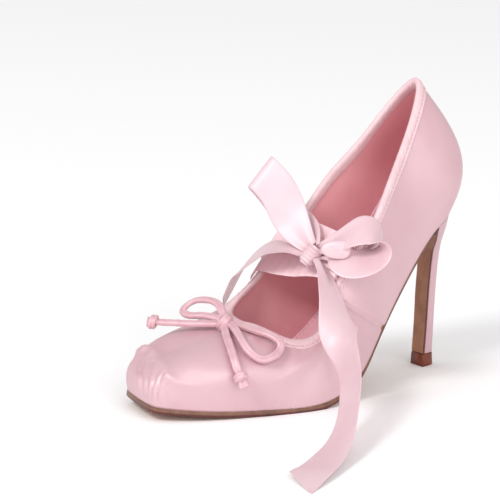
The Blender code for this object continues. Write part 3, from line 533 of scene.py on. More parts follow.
def ribbonStrip(table, folds):
    rows = np.array(table, float)
    knotPlace = np.array(ribbon["knot"])
    for end in (0, -1) if folds["bothEnds"] else (0,):
        rows[end, :3] = knotPlace + unit(rows[end, :3] - knotPlace) * ribbon["clear"]
    path = smoothPath(rows, folds["rings"])
    centre = path[:, :3]
    run = unit(np.gradient(centre, axis=0))
    across = squareTo(path[:, 3:6], run)
    out = np.cross(run, across)
    width = np.clip(path[:, 6:], ribbon["narrowest"], ribbon["width"])
    share = np.linspace(-0.5, 0.5, ribbon["across"])[None, :]
    long = np.linspace(0, lengthOf(centre), len(path))[:, None]
    # pleats where the strip is gathered, and a faint ripple where it is at its full width
    gathered = np.clip(1 - width / ribbon["width"], 0, 1)
    wave = np.cos(2 * math.pi * folds["folds"] * (share + 0.13) + np.linspace(0, 2.5, len(path))[:, None])
    lift = folds["depth"] * ribbon["gather"] * gathered * wave
    lift = lift + ribbon["ripple"] * np.sin(long / ribbon["rippleLong"] + 3 * share) * ease(width, 15, 19)
    # a cut end slopes: one edge runs on past the other
    slide = share * ribbon["width"] * folds.get("cut", 0) * ease(long, long[-1] - ribbon["cutLong"], long[-1])
    grid = centre[:, None] + across[:, None] * (width * share)[..., None]
    grid = grid + out[:, None] * lift[..., None] + run[:, None] * slide[..., None]
    grid[..., 2] = np.maximum(grid[..., 2], ribbon["offFloor"])
    return centre, grid


def makeRibbons():
    for name, table in ribbonRoutes.items():
        centre, grid = ribbonStrip(table, ribbonFolds[name])
        strip = thickSheet(name + "_satin", grid, ribbon["thick"])
        dress(strip, "ribbon_satin", "ribbonSatinWoven", name)


makeRibbons()
print("stage: ribbon loops and tails")

# the two passes of the ribbon over the instep, with a low edge nearer the toe and a high edge nearer the leg
bandWork = {"rings": 130, "across": 17, "pullAt": 12, "pullWide": 9, "pull": 0.35, "crease": 0.16, "fineCrease": 0.1}
bandRows = {
    "ribbon_band_lower": (
        (-32.0, 88.9, 54.4, 101.6, 67.0), (-31.2, 89.3, 57.4, 101.6, 71.0), (-28.0, 90.1, 59.6, 102.2, 73.8),
        (-19.0, 92.4, 60.2, 104.6, 75.6), (0, 96.5, 61.5, 108.0, 78.0), (19.0, 99.8, 63.2, 111.6, 79.3),
        (23.3, 101.0, 61.5, 112.0, 78.0), (23.7, 102.0, 56.5, 113.0, 73.0)),
    "ribbon_band_upper": (
        (-33.4, 97.2, 63.0, 109.4, 75.5), (-32.6, 97.4, 67.4, 109.5, 79.8), (-28.5, 98.0, 71.1, 110.0, 83.0),
        (-17.0, 98.2, 72.6, 110.0, 88.5), (0, 99.5, 71.5, 111.5, 88.0), (16.0, 101.0, 70.0, 113.0, 86.0),
        (24.6, 102.5, 67.0, 114.0, 83.0), (25.0, 104.0, 62.0, 115.0, 78.0)),
}


def makeBands(work):
    for name, table in bandRows.items():
        rows = np.array(table, float)
        low, high = rows[:, [0, 1, 2]], rows[:, [0, 3, 4]]
        both = smoothPath(np.hstack([(low + high) / 2, low, high]), work["rings"])
        share = np.linspace(0, 1, work["across"])[None, :, None]
        grid = both[:, None, 3:6] * (1 - share) + both[:, None, 6:9] * share
        out = unit(np.cross(np.gradient(grid, axis=0), np.gradient(grid, axis=1)))
        x = grid[..., 0]
        # creases that the knot pulls towards itself, and fine ones along the band
        pull = hump(x, work["pullAt"], work["pullWide"]) * np.sin(share[..., 0] * 9 + x * 0.12) * work["pull"]
        crease = work["crease"] * np.sin(x * 0.45 + share[..., 0] * 4)
        crease = crease + work["fineCrease"] * np.sin(x * 1.1 - share[..., 0] * 3)
        grid = grid + out * (pull + crease)[..., None]
        strip = thickSheet(name + "_satin", grid, ribbon["thick"])
        # the bands get the ribbon's colour painted paler: painted light where the loops shade them
        dress(strip, "ribbon_satin", "ribbonSatinDoubled", name)


ribbonKnot = {
    # the wrap: a barrel with soft pleats round it; the fold: a puffed leaf of ribbon over its outer end
    "axis": (0.214, 0.586, 0.73), "half": 5.6, "radius": 5.0, "narrowing": 0.34, "pleats": 3, "pleatDeep": 0.09,
    "flatness": 0.9, "rings": 60, "sides": 96,
    "fold": (27.8, 100.8, 80.8), "foldSize": (7.8, 6.4, 1.7),
    "foldAxes": ((0.588, 0.808, 0.0), (-0.185, 0.135, 0.973), (0.787, -0.573, 0.229)),
}


def makeRibbonKnot(look):
    axis = unit(np.array(look["axis"]))
    side = unit(np.cross(axis, look["foldAxes"][2]))
    front = np.cross(side, axis)
    along = np.linspace(-1, 1, look["rings"])[:, None]
    turn = np.linspace(0, 2 * math.pi, look["sides"], endpoint=False)[None, :]
    radius = look["radius"] * (1 - look["narrowing"] * np.abs(along) ** 3)
    slant = along * look["pleats"] * math.pi + 0.7 * np.sin(turn - 0.8) + 0.35 * np.sin(2 * turn)
    radius = radius * (1 + look["pleatDeep"] * (1 - 2 * np.abs(np.sin(slant)) ** 0.7))
    grid = (look["half"] * along)[..., None] * axis + (radius * np.cos(turn))[..., None] * side + (
        look["flatness"] * radius * np.sin(turn))[..., None] * front
    wrap = gridPiece("ribbon_knot_wrap", np.array(ribbon["knot"]) + grid, wrapColumns=True, caps=True)
    dress(wrap, "ribbon_satin", "ribbonSatinWoven", "ribbon_knot")
    selectOnly()
    bpy.ops.mesh.primitive_uv_sphere_add(segments=64, ring_count=32, radius=1)
    leaf = bpy.context.object
    leaf.name = "ribbon_knot_fold"
    points = np.array([v.co for v in leaf.data.vertices], float)
    x, y, z = points.T
    taper = 0.8 + 0.2 * x - 0.06 * np.sin(3 * x + 1)  # narrower where it goes into the wrap
    z = z * (1 + 0.25 * y) + 0.12 * np.sin(4 * x + 2 * y) * np.abs(z)
    shape = np.column_stack([x, y * taper, z]) * look["foldSize"] @ np.array(look["foldAxes"])
    leaf.data.vertices.foreach_set("co", inFrame(look["fold"] + shape).astype(np.float32).ravel())
    leaf.data.uv_layers[0].name = "Cloth"
    leaf.data.shade_smooth()
    dress(leaf, "ribbon_satin", "ribbonSatinWoven")


makeBands(bandWork)
makeRibbonKnot(ribbonKnot)
print("stage: ribbon over the instep")

# The last: the shape all of the shoe is built on
lastShape = {
    "ball": 78.0, "toeSwing": 12.8, "wall": 1.8, "bindingDepth": 7.2, "gap": 0.3,
    # along, medial, lateral, height, medial lift, top along, top medial, top lateral, top height, top medial lift,
    # flare, rise, lay, reach
    "sections": (
        (0, 0, 0, 8.2, 0, 63, 0, 0, 41.5, 0, 8, 24, 14, 46),
        (1, 16.5, 15.5, 8.1, 0, 63.5, 10, 9, 42, 0, 9, 25, 13, 45),
        (5, 22, 21, 7.4, 0, 67, 18.5, 17.5, 40, 2.5, 13, 24, 16, 39),
        (28, 33, 30, 4.9, 0, 75, 25, 25.5, 36, 11, 14, 20, 30, 28),
        (58, 38, 37, 3.1, 0, 87, 28, 31, 40, 14.5, 14, 16, 50, 17),
        (79, 36, 41.5, 3.1, 0, 96, 28, 29, 53, 11, 10, 16, 66, 14),
        (105, 28, 39, 10, 1, 106, 27.5, 28, 71, 4.5, 8, 16, 77, 16),
        (129, 21, 29, 29, 3, 121, 28, 29, 89, 1, 6, 18, 81, 16),
        (150, 19, 22.5, 52.5, 2, 136, 25.5, 25.5, 108.5, 0, 8, 20, 82, 18.5),
        (173, 18, 19.5, 78, 0, 151, 18, 18, 127, 0, 14, 24, 72, 17.5),
        (187, 13, 15, 86, 0, 165, 10.5, 11, 147, 0, 27, 33, 62, 26),
        (195, 0, 0, 89.3, 0, 174.5, 0, 0, 160.5, 0, 37, 31, 51, 32)),
}


def readLast(shape):
    table = np.array(shape["sections"], float)
    lateral = np.hstack([table[:, [2, 0, 3]], table[:, [7, 5, 8]], table[:, 10:]])
    medial = np.hstack([-table[:, 1:2], table[:, :1], table[:, 3:4] + table[:, 4:5],
                        -table[:, 6:7], table[:, 5:6], table[:, 8:9] + table[:, 9:10], table[:, 10:]])
    rows = np.vstack([lateral, medial[-2::-1]])
    foot, head, hand = rows[:, :3], rows[:, 3:6], rows[:, 6:]
    knots = np.concatenate([[0], np.cumsum(np.linalg.norm(np.diff((foot + head) / 2, axis=0), axis=1) ** 0.6)])
    return knots, *(smoothRows(knots, part, closed=True) for part in (foot, head, hand))


lastKnots, footCurve, headCurve, handCurve = readLast(lastShape)
around = len(lastKnots) - 1  # places round the last: 0 at the toe, up the outer side to the heel, back on the inner
heelPlace = around // 2


def lastPlace(v):
    return np.interp(np.mod(v, around), np.arange(around + 1), lastKnots)


def swingToe(points):
    ahead = np.clip(lastShape["ball"] - points[..., 1], 0, None)
    turn = math.radians(lastShape["toeSwing"]) * ahead / lastShape["ball"]
    x = points[..., 0] * np.cos(turn) - turn * ahead / 2
    along = points[..., 1] - points[..., 0] * np.sin(turn)
    return np.stack([x, along, points[..., 2]], axis=-1)


def feather(v):
    return swingToe(footCurve(lastPlace(v)))


def outwardFlat(curve, u):
    run = unit(curve(u, 1)[:, :2])
    return np.column_stack([run[:, 1], -run[:, 0]])


def wallHandles(v):
    # each rib of the wall is one curve from the sole to the topline: flare and lay are the angles at its ends, rise and
    # reach the lengths of its handles
    u = lastPlace(v)
    foot, head = footCurve(u), headCurve(u)
    flare, rise, lay, reach = handCurve(u).T
    flare, lay = np.radians(flare), np.radians(lay)
    footOut = outwardFlat(footCurve, u) * np.sin(flare)[:, None]
    headOut = outwardFlat(headCurve, u) * np.cos(lay)[:, None]
    low = foot + np.column_stack([footOut, np.cos(flare)]) * rise[:, None]
    high = head + np.column_stack([headOut, -np.sin(lay)]) * reach[:, None]
    return foot, low, high, head


def onRib(handles, t):
    foot, low, high, head = handles
    t = t[..., None]
    s = 1 - t
    return swingToe(s**3 * foot + 3 * s**2 * t * low + 3 * s * t**2 * high + t**3 * head)


def ribReach(handles, samples=101):
    t = np.linspace(0, 1, samples)
    ribs = onRib(handles, np.repeat(t[:, None], len(handles[0]), axis=1))
    steps = np.linalg.norm(np.diff(ribs, axis=0), axis=2)
    return t, np.vstack([np.zeros(steps.shape[1]), np.cumsum(steps, axis=0)])


def wallAt(v, distance, fromTop=False):
    # points on the outer face, at a distance in millimetres up each rib or down it from the topline
    v = np.atleast_1d(np.asarray(v, float))
    handles = wallHandles(v)
    t, reach = ribReach(handles)
    distance = np.broadcast_to(distance, v.shape)
    distance = reach[-1] - distance if fromTop else distance
    columns = np.arange(len(v))
    i = np.clip((reach <= distance).sum(axis=0) - 1, 0, len(t) - 2)
    share = (distance - reach[i, columns]) / (reach[i + 1, columns] - reach[i, columns])
    return onRib(handles, t[i] + share * (t[1] - t[0]))


def ribLength(v):
    return ribReach(wallHandles(np.atleast_1d(np.asarray(v, float))))[1][-1]


def wallOut(v, distance, fromTop=False):
    v = np.atleast_1d(np.asarray(v, float))
    distance = np.broadcast_to(distance, v.shape)
    ahead = wallAt(v + 0.02, distance, fromTop) - wallAt(v - 0.02, distance, fromTop)
    up = wallAt(v, distance + 0.5, fromTop) - wallAt(v, distance - 0.5, fromTop)
    return unit(np.cross(ahead, -up if fromTop else up))


def wallFace(v, distance, fromTop=False):
    # a point on the outer face, and the way it looks
    return wallAt(v, distance, fromTop), wallOut(v, distance, fromTop)


def gridNormals(grid):
    aroundStep = np.roll(grid, -1, axis=1) - np.roll(grid, 1, axis=1)
    return unit(np.cross(aroundStep, np.gradient(grid, axis=0)))


def lineValue(points, at):
    table = np.array(points, float)
    return np.interp(at, table[:, 0], table[:, 1])


# Upper: satin skin with its gathers and seams
upperWork = {
    "columns": ((0, 4.3, 0.019), (4.3, 10.2, 0.042), (10.2, 11.8, 0.03), (11.8, 17.7, 0.045), (17.7, 22, 0.019)),
    "levels": 66, "skin": 0.9, "intoBinding": 1.5, "turnedIn": 5, "deepest": 0.45, "deepestSoft": 0.35,
    "pucker": (0.07, 0.05), "drawnIn": (0.1, 0.06), "throatWave": 0.28, "girthRow": 20,
    "toeFrom": (19.8, 20.6), "toeTo": (23.4, 24.7),
    # across the crest: height, place and width of the ridge and of the hollows above and below it
    "toeRidges": ((1.5, -0.3, 2.2), (-0.75, 7.5, 5), (-0.7, -7, 4)),
    # the outer side's seam: share of the way up the wall, and place round the last
    "seam": ((0, 7.22), (0.03, 7.17), (0.5, 6.42), (0.77, 5.93), (0.94, 5.57), (1, 5.45)),
    "seamColumn": 6.42, "seamStep": 0.35, "seamGroove": 1.1, "seamClear": 0.055, "seamSides": (0.012, 0.045),
    # the crest over the toe: place round the last, and distance up from the feather line
    "crest": ((19.6, 19), (20.1, 20.5), (20.5, 23), (20.72, 25.9), (21.3, 28.1), (22.03, 26.6), (22.92, 23.5),
              (23.4, 20.1), (23.87, 17.9), (24.25, 17.1), (24.6, 17.2), (25.5, 17.5)),
    # each gather: from its foot to its top as (distance up, place), its depth and its width
    "gatherFades": (-4, 2, 0, 4),
    "gathers": (
        (((5, 20.9), (12, 20.75), (21, 20.6)), 0.45, 0.1),
        (((5, 21.95), (11, 21.82), (17.7, 21.33), (23, 21.1)), 1.1, 0.11),
        (((6, 22.45), (11.9, 22.32), (13.6, 22.03), (21.9, 21.35), (25, 21.2)), 1.15, 0.12),
        (((7, 22.8), (12.7, 22.65), (16.6, 22.42), (22, 22.1)), 1.05, 0.11),
        (((5, 23.2), (12, 23.08), (18, 22.85)), 0.55, 0.09), (((4, 23.66), (11.3, 23.48), (17, 23.25)), 0.6, 0.09),
        (((4, 24.1), (8, 24.0), (14, 23.85)), 0.35, 0.08)),
    # soft creases of the vamp, given in the same way
    "creaseFades": (-9, 3, -3, 9),
    "creases": ((((30.9, 3.52), (46.8, 3.07), (65.3, 2.72)), 0.35, 0.16), (((14.7, 5.38), (29.3, 5.07)), 0.4, 0.16)),
}


def upperColumns(work):
    parts = [np.arange(low, high - step / 2, step) for low, high, step in work["columns"]]
    columns = np.concatenate(parts)
    seam = work["seamColumn"]
    extra = []
    for middle in (seam, around - seam):
        columns = columns[np.abs(columns - middle) > work["seamClear"]]
        extra += [middle + sign * aside for sign in (-1, 1) for aside in work["seamSides"]]
    return np.sort(np.concatenate([columns, extra]))


def seamShift(columns, share, work):
    # columns slide so that one of them follows the seam on each side
    shift = lineValue(work["seam"], share) - work["seamColumn"]
    lateral = np.clip(1 - ((columns - work["seamColumn"]) / 3) ** 2, 0, 1) ** 2
    medial = np.clip(1 - ((columns - around + work["seamColumn"]) / 3) ** 2, 0, 1) ** 2
    return columns + shift * (lateral - medial)


def foldLine(path, distance, fades):
    # where a gather or a crease runs at each height, and how strongly: it fades in at its foot and out at its top
    rows = np.array(path)
    foot, top = rows[0, 0], rows[-1, 0]
    fade = ease(distance, foot + fades[0], foot + fades[1]) * (1 - ease(distance, top + fades[2], top + fades[3]))
    return np.interp(distance, rows[:, 0], rows[:, 1]), fade


def upperRelief(columns, v, distance, depth, work):
    # how far the satin stands off the last, in millimetres
    toe = np.where(v < heelPlace, v + around, v)  # the middle of the toe is at the end of the round
    crest = lineValue(work["crest"], toe)
    nearToe = ease(toe, *work["toeFrom"]) * (1 - ease(toe, *work["toeTo"]))
    relief = nearToe * sum(high * hump(distance - crest, place, wide) for high, place, wide in work["toeRidges"])
    for path, deep, wide in work["gathers"]:
        middle, fade = foldLine(path, distance, work["gatherFades"])
        valley = hump(toe, middle, wide)
        shoulder = hump(toe, middle + 2.1 * wide, wide * 1.5) + 0.7 * hump(toe, middle - 2.1 * wide, wide * 1.5)
        relief = relief + fade * deep * (0.55 * shoulder - valley)
    # lasting puckers just above the sole, round the toe and forefoot
    wide, fine = work["pucker"]
    pucker = np.sin(v * 41 + np.sin(v * 9) * 2) * wide + np.sin(v * 67 + 1.3) * fine
    side = np.minimum(v, around - v)
    relief = relief + pucker * (1 - ease(distance, 1.5, 9)) * ease(side, 2.5, 3.5) * (1 - ease(side, 4, 6.5))
    # the cloth is drawn in under the binding
    wide, fine = work["drawnIn"]
    drawn = np.sin(v * 17 + np.sin(v * 5) * 1.4) * wide + np.sin(v * 31 + 0.7) * fine
    relief = relief + drawn * (1 - ease(depth, 1, 13))
    throat = 1 - ease(side, 3.2, 4.6)
    relief = relief + throat * work["throatWave"] * np.sin(v * 8.5 + 0.6) * hump(depth, 7, 8)
    for path, deep, wide in work["creases"]:
        middle, fade = foldLine(path, distance, work["creaseFades"])
        relief = relief + fade * deep * (0.8 * hump(v, middle + 1.6 * wide, wide * 1.3) - hump(v, middle, wide))
    # the quarter laps over the vamp, and the seam is drawn in along its edge
    for middle, sign in ((work["seamColumn"], 1), (around - work["seamColumn"], -1)):
        behind = (columns - middle) * sign
        relief = relief + np.where(behind > 0.02, work["seamStep"] * np.exp(-behind / 0.4), 0)
        relief = relief - work["seamGroove"] * hump(behind, 0, 0.045) - 0.1 * hump(behind, -0.06, 0.06)
    # a gather never cuts through to the lining: below this depth it flattens out
    deepest, soft = work["deepest"], work["deepestSoft"]
    below = np.minimum(relief, -deepest) + deepest
    return np.where(below < 0, -deepest - soft * (1 - np.exp(below / soft)), relief)


def makeUpper(work):
    columns = upperColumns(work)
    margin = lastShape["bindingDepth"] - work["intoBinding"]  # the skin runs up inside the binding
    shares = np.linspace(0, 1, work["levels"])
    v = np.array([seamShift(columns, share, work) for share in shares])
    full = np.array([ribLength(row) - margin for row in v])
    distance = full * shares[:, None]
    outer = np.array([wallAt(v[k], distance[k]) for k in range(len(shares))])
    normals = gridNormals(outer)
    relief = upperRelief(columns[None, :], v, distance, full + margin - distance, work)
    skin = outer + normals * relief[..., None]
    inside = outer[::-6] - normals[::-6] * work["skin"]
    turned = outer[:1] - normals[:1] * work["turnedIn"] - np.array([0, 0, 0.05])  # lasted under the edge, over the sole
    grid = np.concatenate([turned, skin, inside, turned + np.array([0, 0, 0.5])])
    ring = outer[work["girthRow"]]  # the cloth is measured round the wall at this row
    girth = runningLength(np.concatenate([ring, ring[:1]])) / clothUnit
    piece = gridPiece("upper_satin", grid, wrapRows=True, wrapColumns=True, u=girth)
    dress(piece, "satin", "duchessSatinWoven", "upper")


makeUpper(upperWork)
print("stage: upper")

liningWork = {"step": 0.05, "rows": 34, "belowTopline": 3, "behindSkin": 0.05}


def makeLining(work):
    v = np.arange(0, around, work["step"])
    full = ribLength(v) - work["belowTopline"]
    inner = np.array([wallAt(v, full * rise) for rise in np.linspace(0, 1, work["rows"])])
    normals = gridNormals(inner)
    face = inner - normals * lastShape["wall"]
    back = inner[::-4] - normals[::-4] * (upperWork["skin"] + work["behindSkin"])
    lining = gridPiece("lining", np.concatenate([face, back]), wrapRows=True, wrapColumns=True)
    dress(lining, "satin", "liningSatinWoven")


makeLining(liningWork)

# Binding: padded roll with a sewn edge
bindingWork = {
    "step": 0.028,
    # depth from the topline, and how far the face stands off the wall's outer face
    "outside": ((0.25, 0.15), (0.9, 0.62), (1.9, 0.85), (3.2, 0.9), (4.4, 0.78), (5.0, 0.5), (5.35, 0.38), (5.7, 0.52),
                (6.3, 0.68), (6.85, 0.62), (7.15, 0.35), (7.2, 0.0)),
    "inside": ((7.0, -2.2), (6.6, -2.45), (5.6, -2.5), (4.2, -2.62), (2.8, -2.6), (1.6, -2.4), (0.7, -1.95),
               (0.15, -1.3), (0.0, -0.6)),
    "stitches": {"depth": 5.35, "stand": 0.42, "pitch": 2.7, "length": 1.9, "width": 0.42},
}


def makeBinding(work):
    v = np.arange(0, around, work["step"])
    rings = []
    for depth, stand in work["outside"] + work["inside"]:
        # the padding is a little uneven, most of all where it stands free
        soft = 0.06 * np.sin(v * 23 + depth) + 0.05 * np.sin(v * 37 + 2) + 0.04 * np.sin(v * 61 - depth)
        weight = 1 if 0.5 < depth < 5 else 0.3
        face, out = wallFace(v, depth, fromTop=True)
        rings.append(face + out * (stand + soft * weight)[:, None])
    piece = gridPiece("topline_binding_satin", np.array(rings), wrapRows=True, wrapColumns=True)
    # the binding's paler colour is painted light, where the binding lies in shade
    dress(piece, "binding_satin", "biasSatinPadded", "topline_binding")


def makeBindingStitches(look):
    line, normals = wallFace(np.linspace(0, around, 400), look["depth"], fromTop=True)
    line = line + normals * look["stand"]
    arc = runningLength(line)
    stops = np.arange(look["pitch"] / 2, arc[-1], look["pitch"])
    at, run = atStops(stops, arc, line), atStops(stops, arc, np.gradient(line, axis=0))
    stitchRow("binding_stitches", "binding_satin", at, run, atStops(stops, arc, normals), look)


makeBinding(bindingWork)
makeBindingStitches(bindingWork["stitches"])
print("stage: binding and lining")

# Sock
# the rim's height up the wall and its distance in from it, at each section of the last from the toe to the heel
sockWork = {"rim": (2.8, 2.8, 2.8, 2.8, 2.8, 3.0, 3.2, 5.0, 11.0, 17.0, 18.0, 16.5),
            "inset": (3.5, 3.5, 3.7, 3.6, 3.5, 3.5, 3.8, 4.2, 4.8, 5.1, 5.3, 5.3),
            "spine": (2.4, 9.7), "thick": 2.2, "rings": 26, "step": 0.06, "clear": 1.4, "stitchRing": 4,
            "stitches": {"pitch": 2.4, "stand": 0.05, "length": 1.7, "width": 0.4}}


def makeSock(work):
    v = np.arange(0, around, work["step"])
    side = np.minimum(v, around - v)
    sections = np.arange(heelPlace + 1)
    rimRise = np.interp(side, sections, work["rim"])
    inset = np.interp(side, sections, work["inset"]) - work["clear"]
    rim, out = wallFace(v, rimRise)
    rim = rim - out * inset[:, None]
    spinePlace = np.clip(side, *work["spine"])
    spine = (feather(spinePlace) + feather(around - spinePlace)) / 2
    fine = np.linspace(0.5, heelPlace, 120)
    ground = (feather(fine) + feather(around - fine)) / 2

    def aboveGround(points):
        return points[:, 2] - np.interp(points[:, 1], ground[:, 1], ground[:, 2])

    climb = np.gradient(ground[:, 2], ground[:, 1])
    lean = np.cos(np.arctan(np.interp(spine[:, 1], ground[:, 1], climb)))
    spineAbove = (work["thick"] + 2 * lastShape["gap"]) / lean
    rimAbove = aboveGround(rim)
    rings = []
    for reach in np.sin(np.linspace(1, 0, work["rings"]) * math.pi / 2):
        ring = spine + (rim - spine) * reach
        lift = spineAbove + (rimAbove - spineAbove) * (1 - math.sqrt(1 - reach**2))
        ring[:, 2] += lift - aboveGround(ring)
        rings.append(ring)
    face = np.array(rings)
    normals = -gridNormals(face)
    normals = normals * np.where(normals[-1:, :, 2:] < 0, -1, 1)
    low = face[::3][::-1] - normals[::3][::-1] * work["thick"] * 0.8
    grid = np.concatenate([face[::-1][:-1], face[:1], low[::-1], face[-1:] - np.array([0, 0, work["thick"]])])
    sock = gridPiece("sock", grid, wrapColumns=True)
    # both halves meet along the spine, above and below, and are welded there
    selectOnly(sock)
    bpy.ops.object.mode_set(mode="EDIT")
    bpy.ops.mesh.select_all(action="SELECT")
    bpy.ops.mesh.remove_doubles(threshold=0.01 * mm)
    bpy.ops.object.mode_set(mode="OBJECT")
    dress(sock, "sock", "sockKidGlazed", "insole")
    # a row of stitches just inside the sock's edge
    look = work["stitches"]
    edge, upWay = (np.vstack([rows[work["stitchRing"]], rows[work["stitchRing"]][:1]]) for rows in (face, normals))
    arc = runningLength(edge)
    stops = np.arange(look["pitch"] / 2, arc[-1], look["pitch"])
    at, upWay = atStops(stops, arc, edge), atStops(stops, arc, upWay)
    run = np.roll(at, -1, axis=0) - np.roll(at, 1, axis=0)
    stitchRow("sock_stitches", "sock", at + unit(upWay) * look["stand"], run, upWay, look)


makeSock(sockWork)
print("stage: sock")

# Heel, top piece and sole
heelWork = {
    # front, front height, back, back height, half width; then the seat, which follows the last from this place round
    "rings": ((180.4, 7.3, 188.0, 7.3, 4.8), (181.7, 25, 188.7, 25, 4.9), (182.8, 45, 189.8, 45, 5.1),
              (183.9, 60, 191.4, 62, 5.7), (183.4, 66, 192.5, 71, 7.6), (181.9, 70.5, 193.5, 79, 11.2)),
    "seat": 9.3, "points": 61, "steps": 14, "bevel": 0.35, "bevelSteps": 3, "sharp": 50,
}


def halfRound(points):
    turn = np.linspace(0, math.pi, points)
    return np.sign(np.cos(turn)) * np.abs(np.cos(turn)) ** 0.85, np.sin(turn) ** 0.85


def heelRings(work):
    roundX, roundBack = halfRound(work["points"])
    rows = []
    for front, frontHeight, back, backHeight, halfWidth in work["rings"]:
        rows.append(np.column_stack([roundX * halfWidth, front + (back - front) * roundBack,
                                     frontHeight + (backHeight - frontHeight) * roundBack]))
    seat = feather(np.linspace(work["seat"], around - work["seat"], work["points"]))
    seat[:, 2] -= lastShape["gap"]
    rows.append(seat)
    flat = np.array([row.ravel() for row in rows])
    steps = np.linalg.norm(np.diff(flat, axis=0), axis=1) / math.sqrt(work["points"])
    knots = np.concatenate([[0], np.cumsum(steps)])
    places = [knots[i] + (knots[i + 1] - knots[i]) * k / work["steps"] for i in range(len(rows) - 1)
              for k in range(work["steps"])]
    return smoothRows(knots, flat)(places + [knots[-1]]).reshape(-1, work["points"], 3)


def makeHeel(work):
    rings = heelRings(work)
    heel = gridPiece("heel_cover", rings, wrapColumns=True, caps=True)
    selectOnly(heel)
    bpy.ops.object.mode_set(mode="EDIT")
    bpy.ops.mesh.select_mode(type="EDGE")
    bpy.ops.mesh.select_all(action="DESELECT")
    bpy.ops.mesh.edges_select_sharp(sharpness=math.radians(work["sharp"]))
    bpy.ops.mesh.bevel(offset=work["bevel"] * mm, segments=work["bevelSteps"], affect="EDGES")
    bpy.ops.object.mode_set(mode="OBJECT")
    dress(heel, "heel_satin", "heelSatinDrawn", "heel")
    return rings


heelRingSet = makeHeel(heelWork)

# a D in plan, a little wider at the tread
topPieceWork = {
    # height, front, back, half width
    "rings": ((0.0, 178.9, 188.2, 4.9), (0.35, 178.6, 188.5, 5.2), (3.5, 178.7, 188.3, 5.05),
              (6.6, 178.85, 188.15, 4.9), (7.0, 179.1, 187.9, 4.7)),
    "points": 33,
}


def makeTopPiece(work):
    roundX, roundBack = halfRound(work["points"])
    rings = [np.column_stack([roundX * halfWidth, front + (back - front) * roundBack, np.full(len(roundX), height)])
             for height, front, back, halfWidth in work["rings"]]
    block = gridPiece("heel_top_piece", np.array(rings), wrapColumns=True, caps=True)
    dress(block, "top_piece", "rubberTopMoulded", "top_piece")


makeTopPiece(topPieceWork)

# the sole thins to its shank, and turns down over the front of the heel as its breast
soleWork = {"thick": 2.8, "shank": 0.9, "thins": (90, 125), "breast": 1.2, "tread": (54.0, 84.0), "corner": 2,
            "breastAt": 9, "rim": 5, "bulge": 0.22, "across": 61, "along": 150, "turnRoom": 0.8, "smoothBelow": 40}


def meetingPoint(start, direction, other, otherDirection):
    matrix = np.column_stack([direction, -otherDirection])
    return start + np.linalg.solve(matrix, other - start)[0] * direction


def soleFaces(work, rings):
    # the upper and the lower face, from the toe to the breast and down the breast to the heel's tip
    gap = lastShape["gap"]
    front = feather(np.linspace(work["corner"], -work["corner"], work["across"]))
    share = (front[0, 0] - front[:, 0]) / (front[0, 0] - front[-1, 0])
    top = [front]
    for s in np.linspace(work["corner"], work["breastAt"], work["along"])[1:]:
        lateral, medial = feather([s, around - s])
        top.append(lateral + (medial - lateral) * share[:, None])
    top = np.array(top)
    middle = top.mean(axis=1)
    run = np.gradient(middle[:, 1:], axis=0)
    slope = np.arctan2(run[:, 1], run[:, 0])
    down = np.column_stack([np.zeros(len(slope)), np.sin(slope), -np.cos(slope)])[:, None, :]
    thick = np.interp(middle[:, 1], work["thins"], (work["thick"], work["shank"]))[:, None, None]
    low = top + down * (gap + thick)
    top = top + down * gap * 0.3
    low[..., 2] = np.maximum(low[..., 2], 0)
    treadFrom, treadTo = work["tread"]
    onFloor = ease(low[..., 1], treadFrom - 8, treadFrom) * (1 - ease(low[..., 1], treadTo, treadTo + 5))
    low[..., 2] *= 1 - onFloor
    edges = rings[::-1]
    frontLine = edges[:, 0, 1:]
    fall = unit(np.gradient(frontLine, axis=0))
    ahead = np.column_stack([fall[:, 1], -fall[:, 0]])
    ahead *= np.where(ahead[:, 0] > 0, -1, 1)[:, None]
    soleLine, treadLine = top[-1].mean(axis=0)[1:], low[-1].mean(axis=0)[1:]
    rise = unit(frontLine[0] - soleLine)
    turnTop = meetingPoint(soleLine, rise, frontLine[0] + ahead[0] * gap, fall[0])
    turnLow = meetingPoint(treadLine, rise, frontLine[0] + ahead[0] * (gap + work["breast"]), fall[0])
    breastTop, breastLow = [], []
    for k in range(len(edges)):
        high = frontLine[k] + ahead[k] * gap if k else turnTop
        deep = frontLine[k] + ahead[k] * (gap + work["breast"]) if k else turnLow
        if k and deep[1] > turnLow[1] - work["turnRoom"]:
            continue
        lateral, medial = edges[k, [0, -1], 0]
        x = lateral + (medial - lateral) * share
        for rows, place in ((breastTop, high), (breastLow, deep)):
            rows.append(np.column_stack([x, np.full(len(x), place[0]), np.full(len(x), place[1])]))
    return np.vstack([top, breastTop]), np.vstack([low, breastLow]), len(top)


def rimLoop(grid):
    return np.concatenate([grid[0], grid[1:, -1], grid[-1, -2::-1], grid[-2:0:-1, 0]])


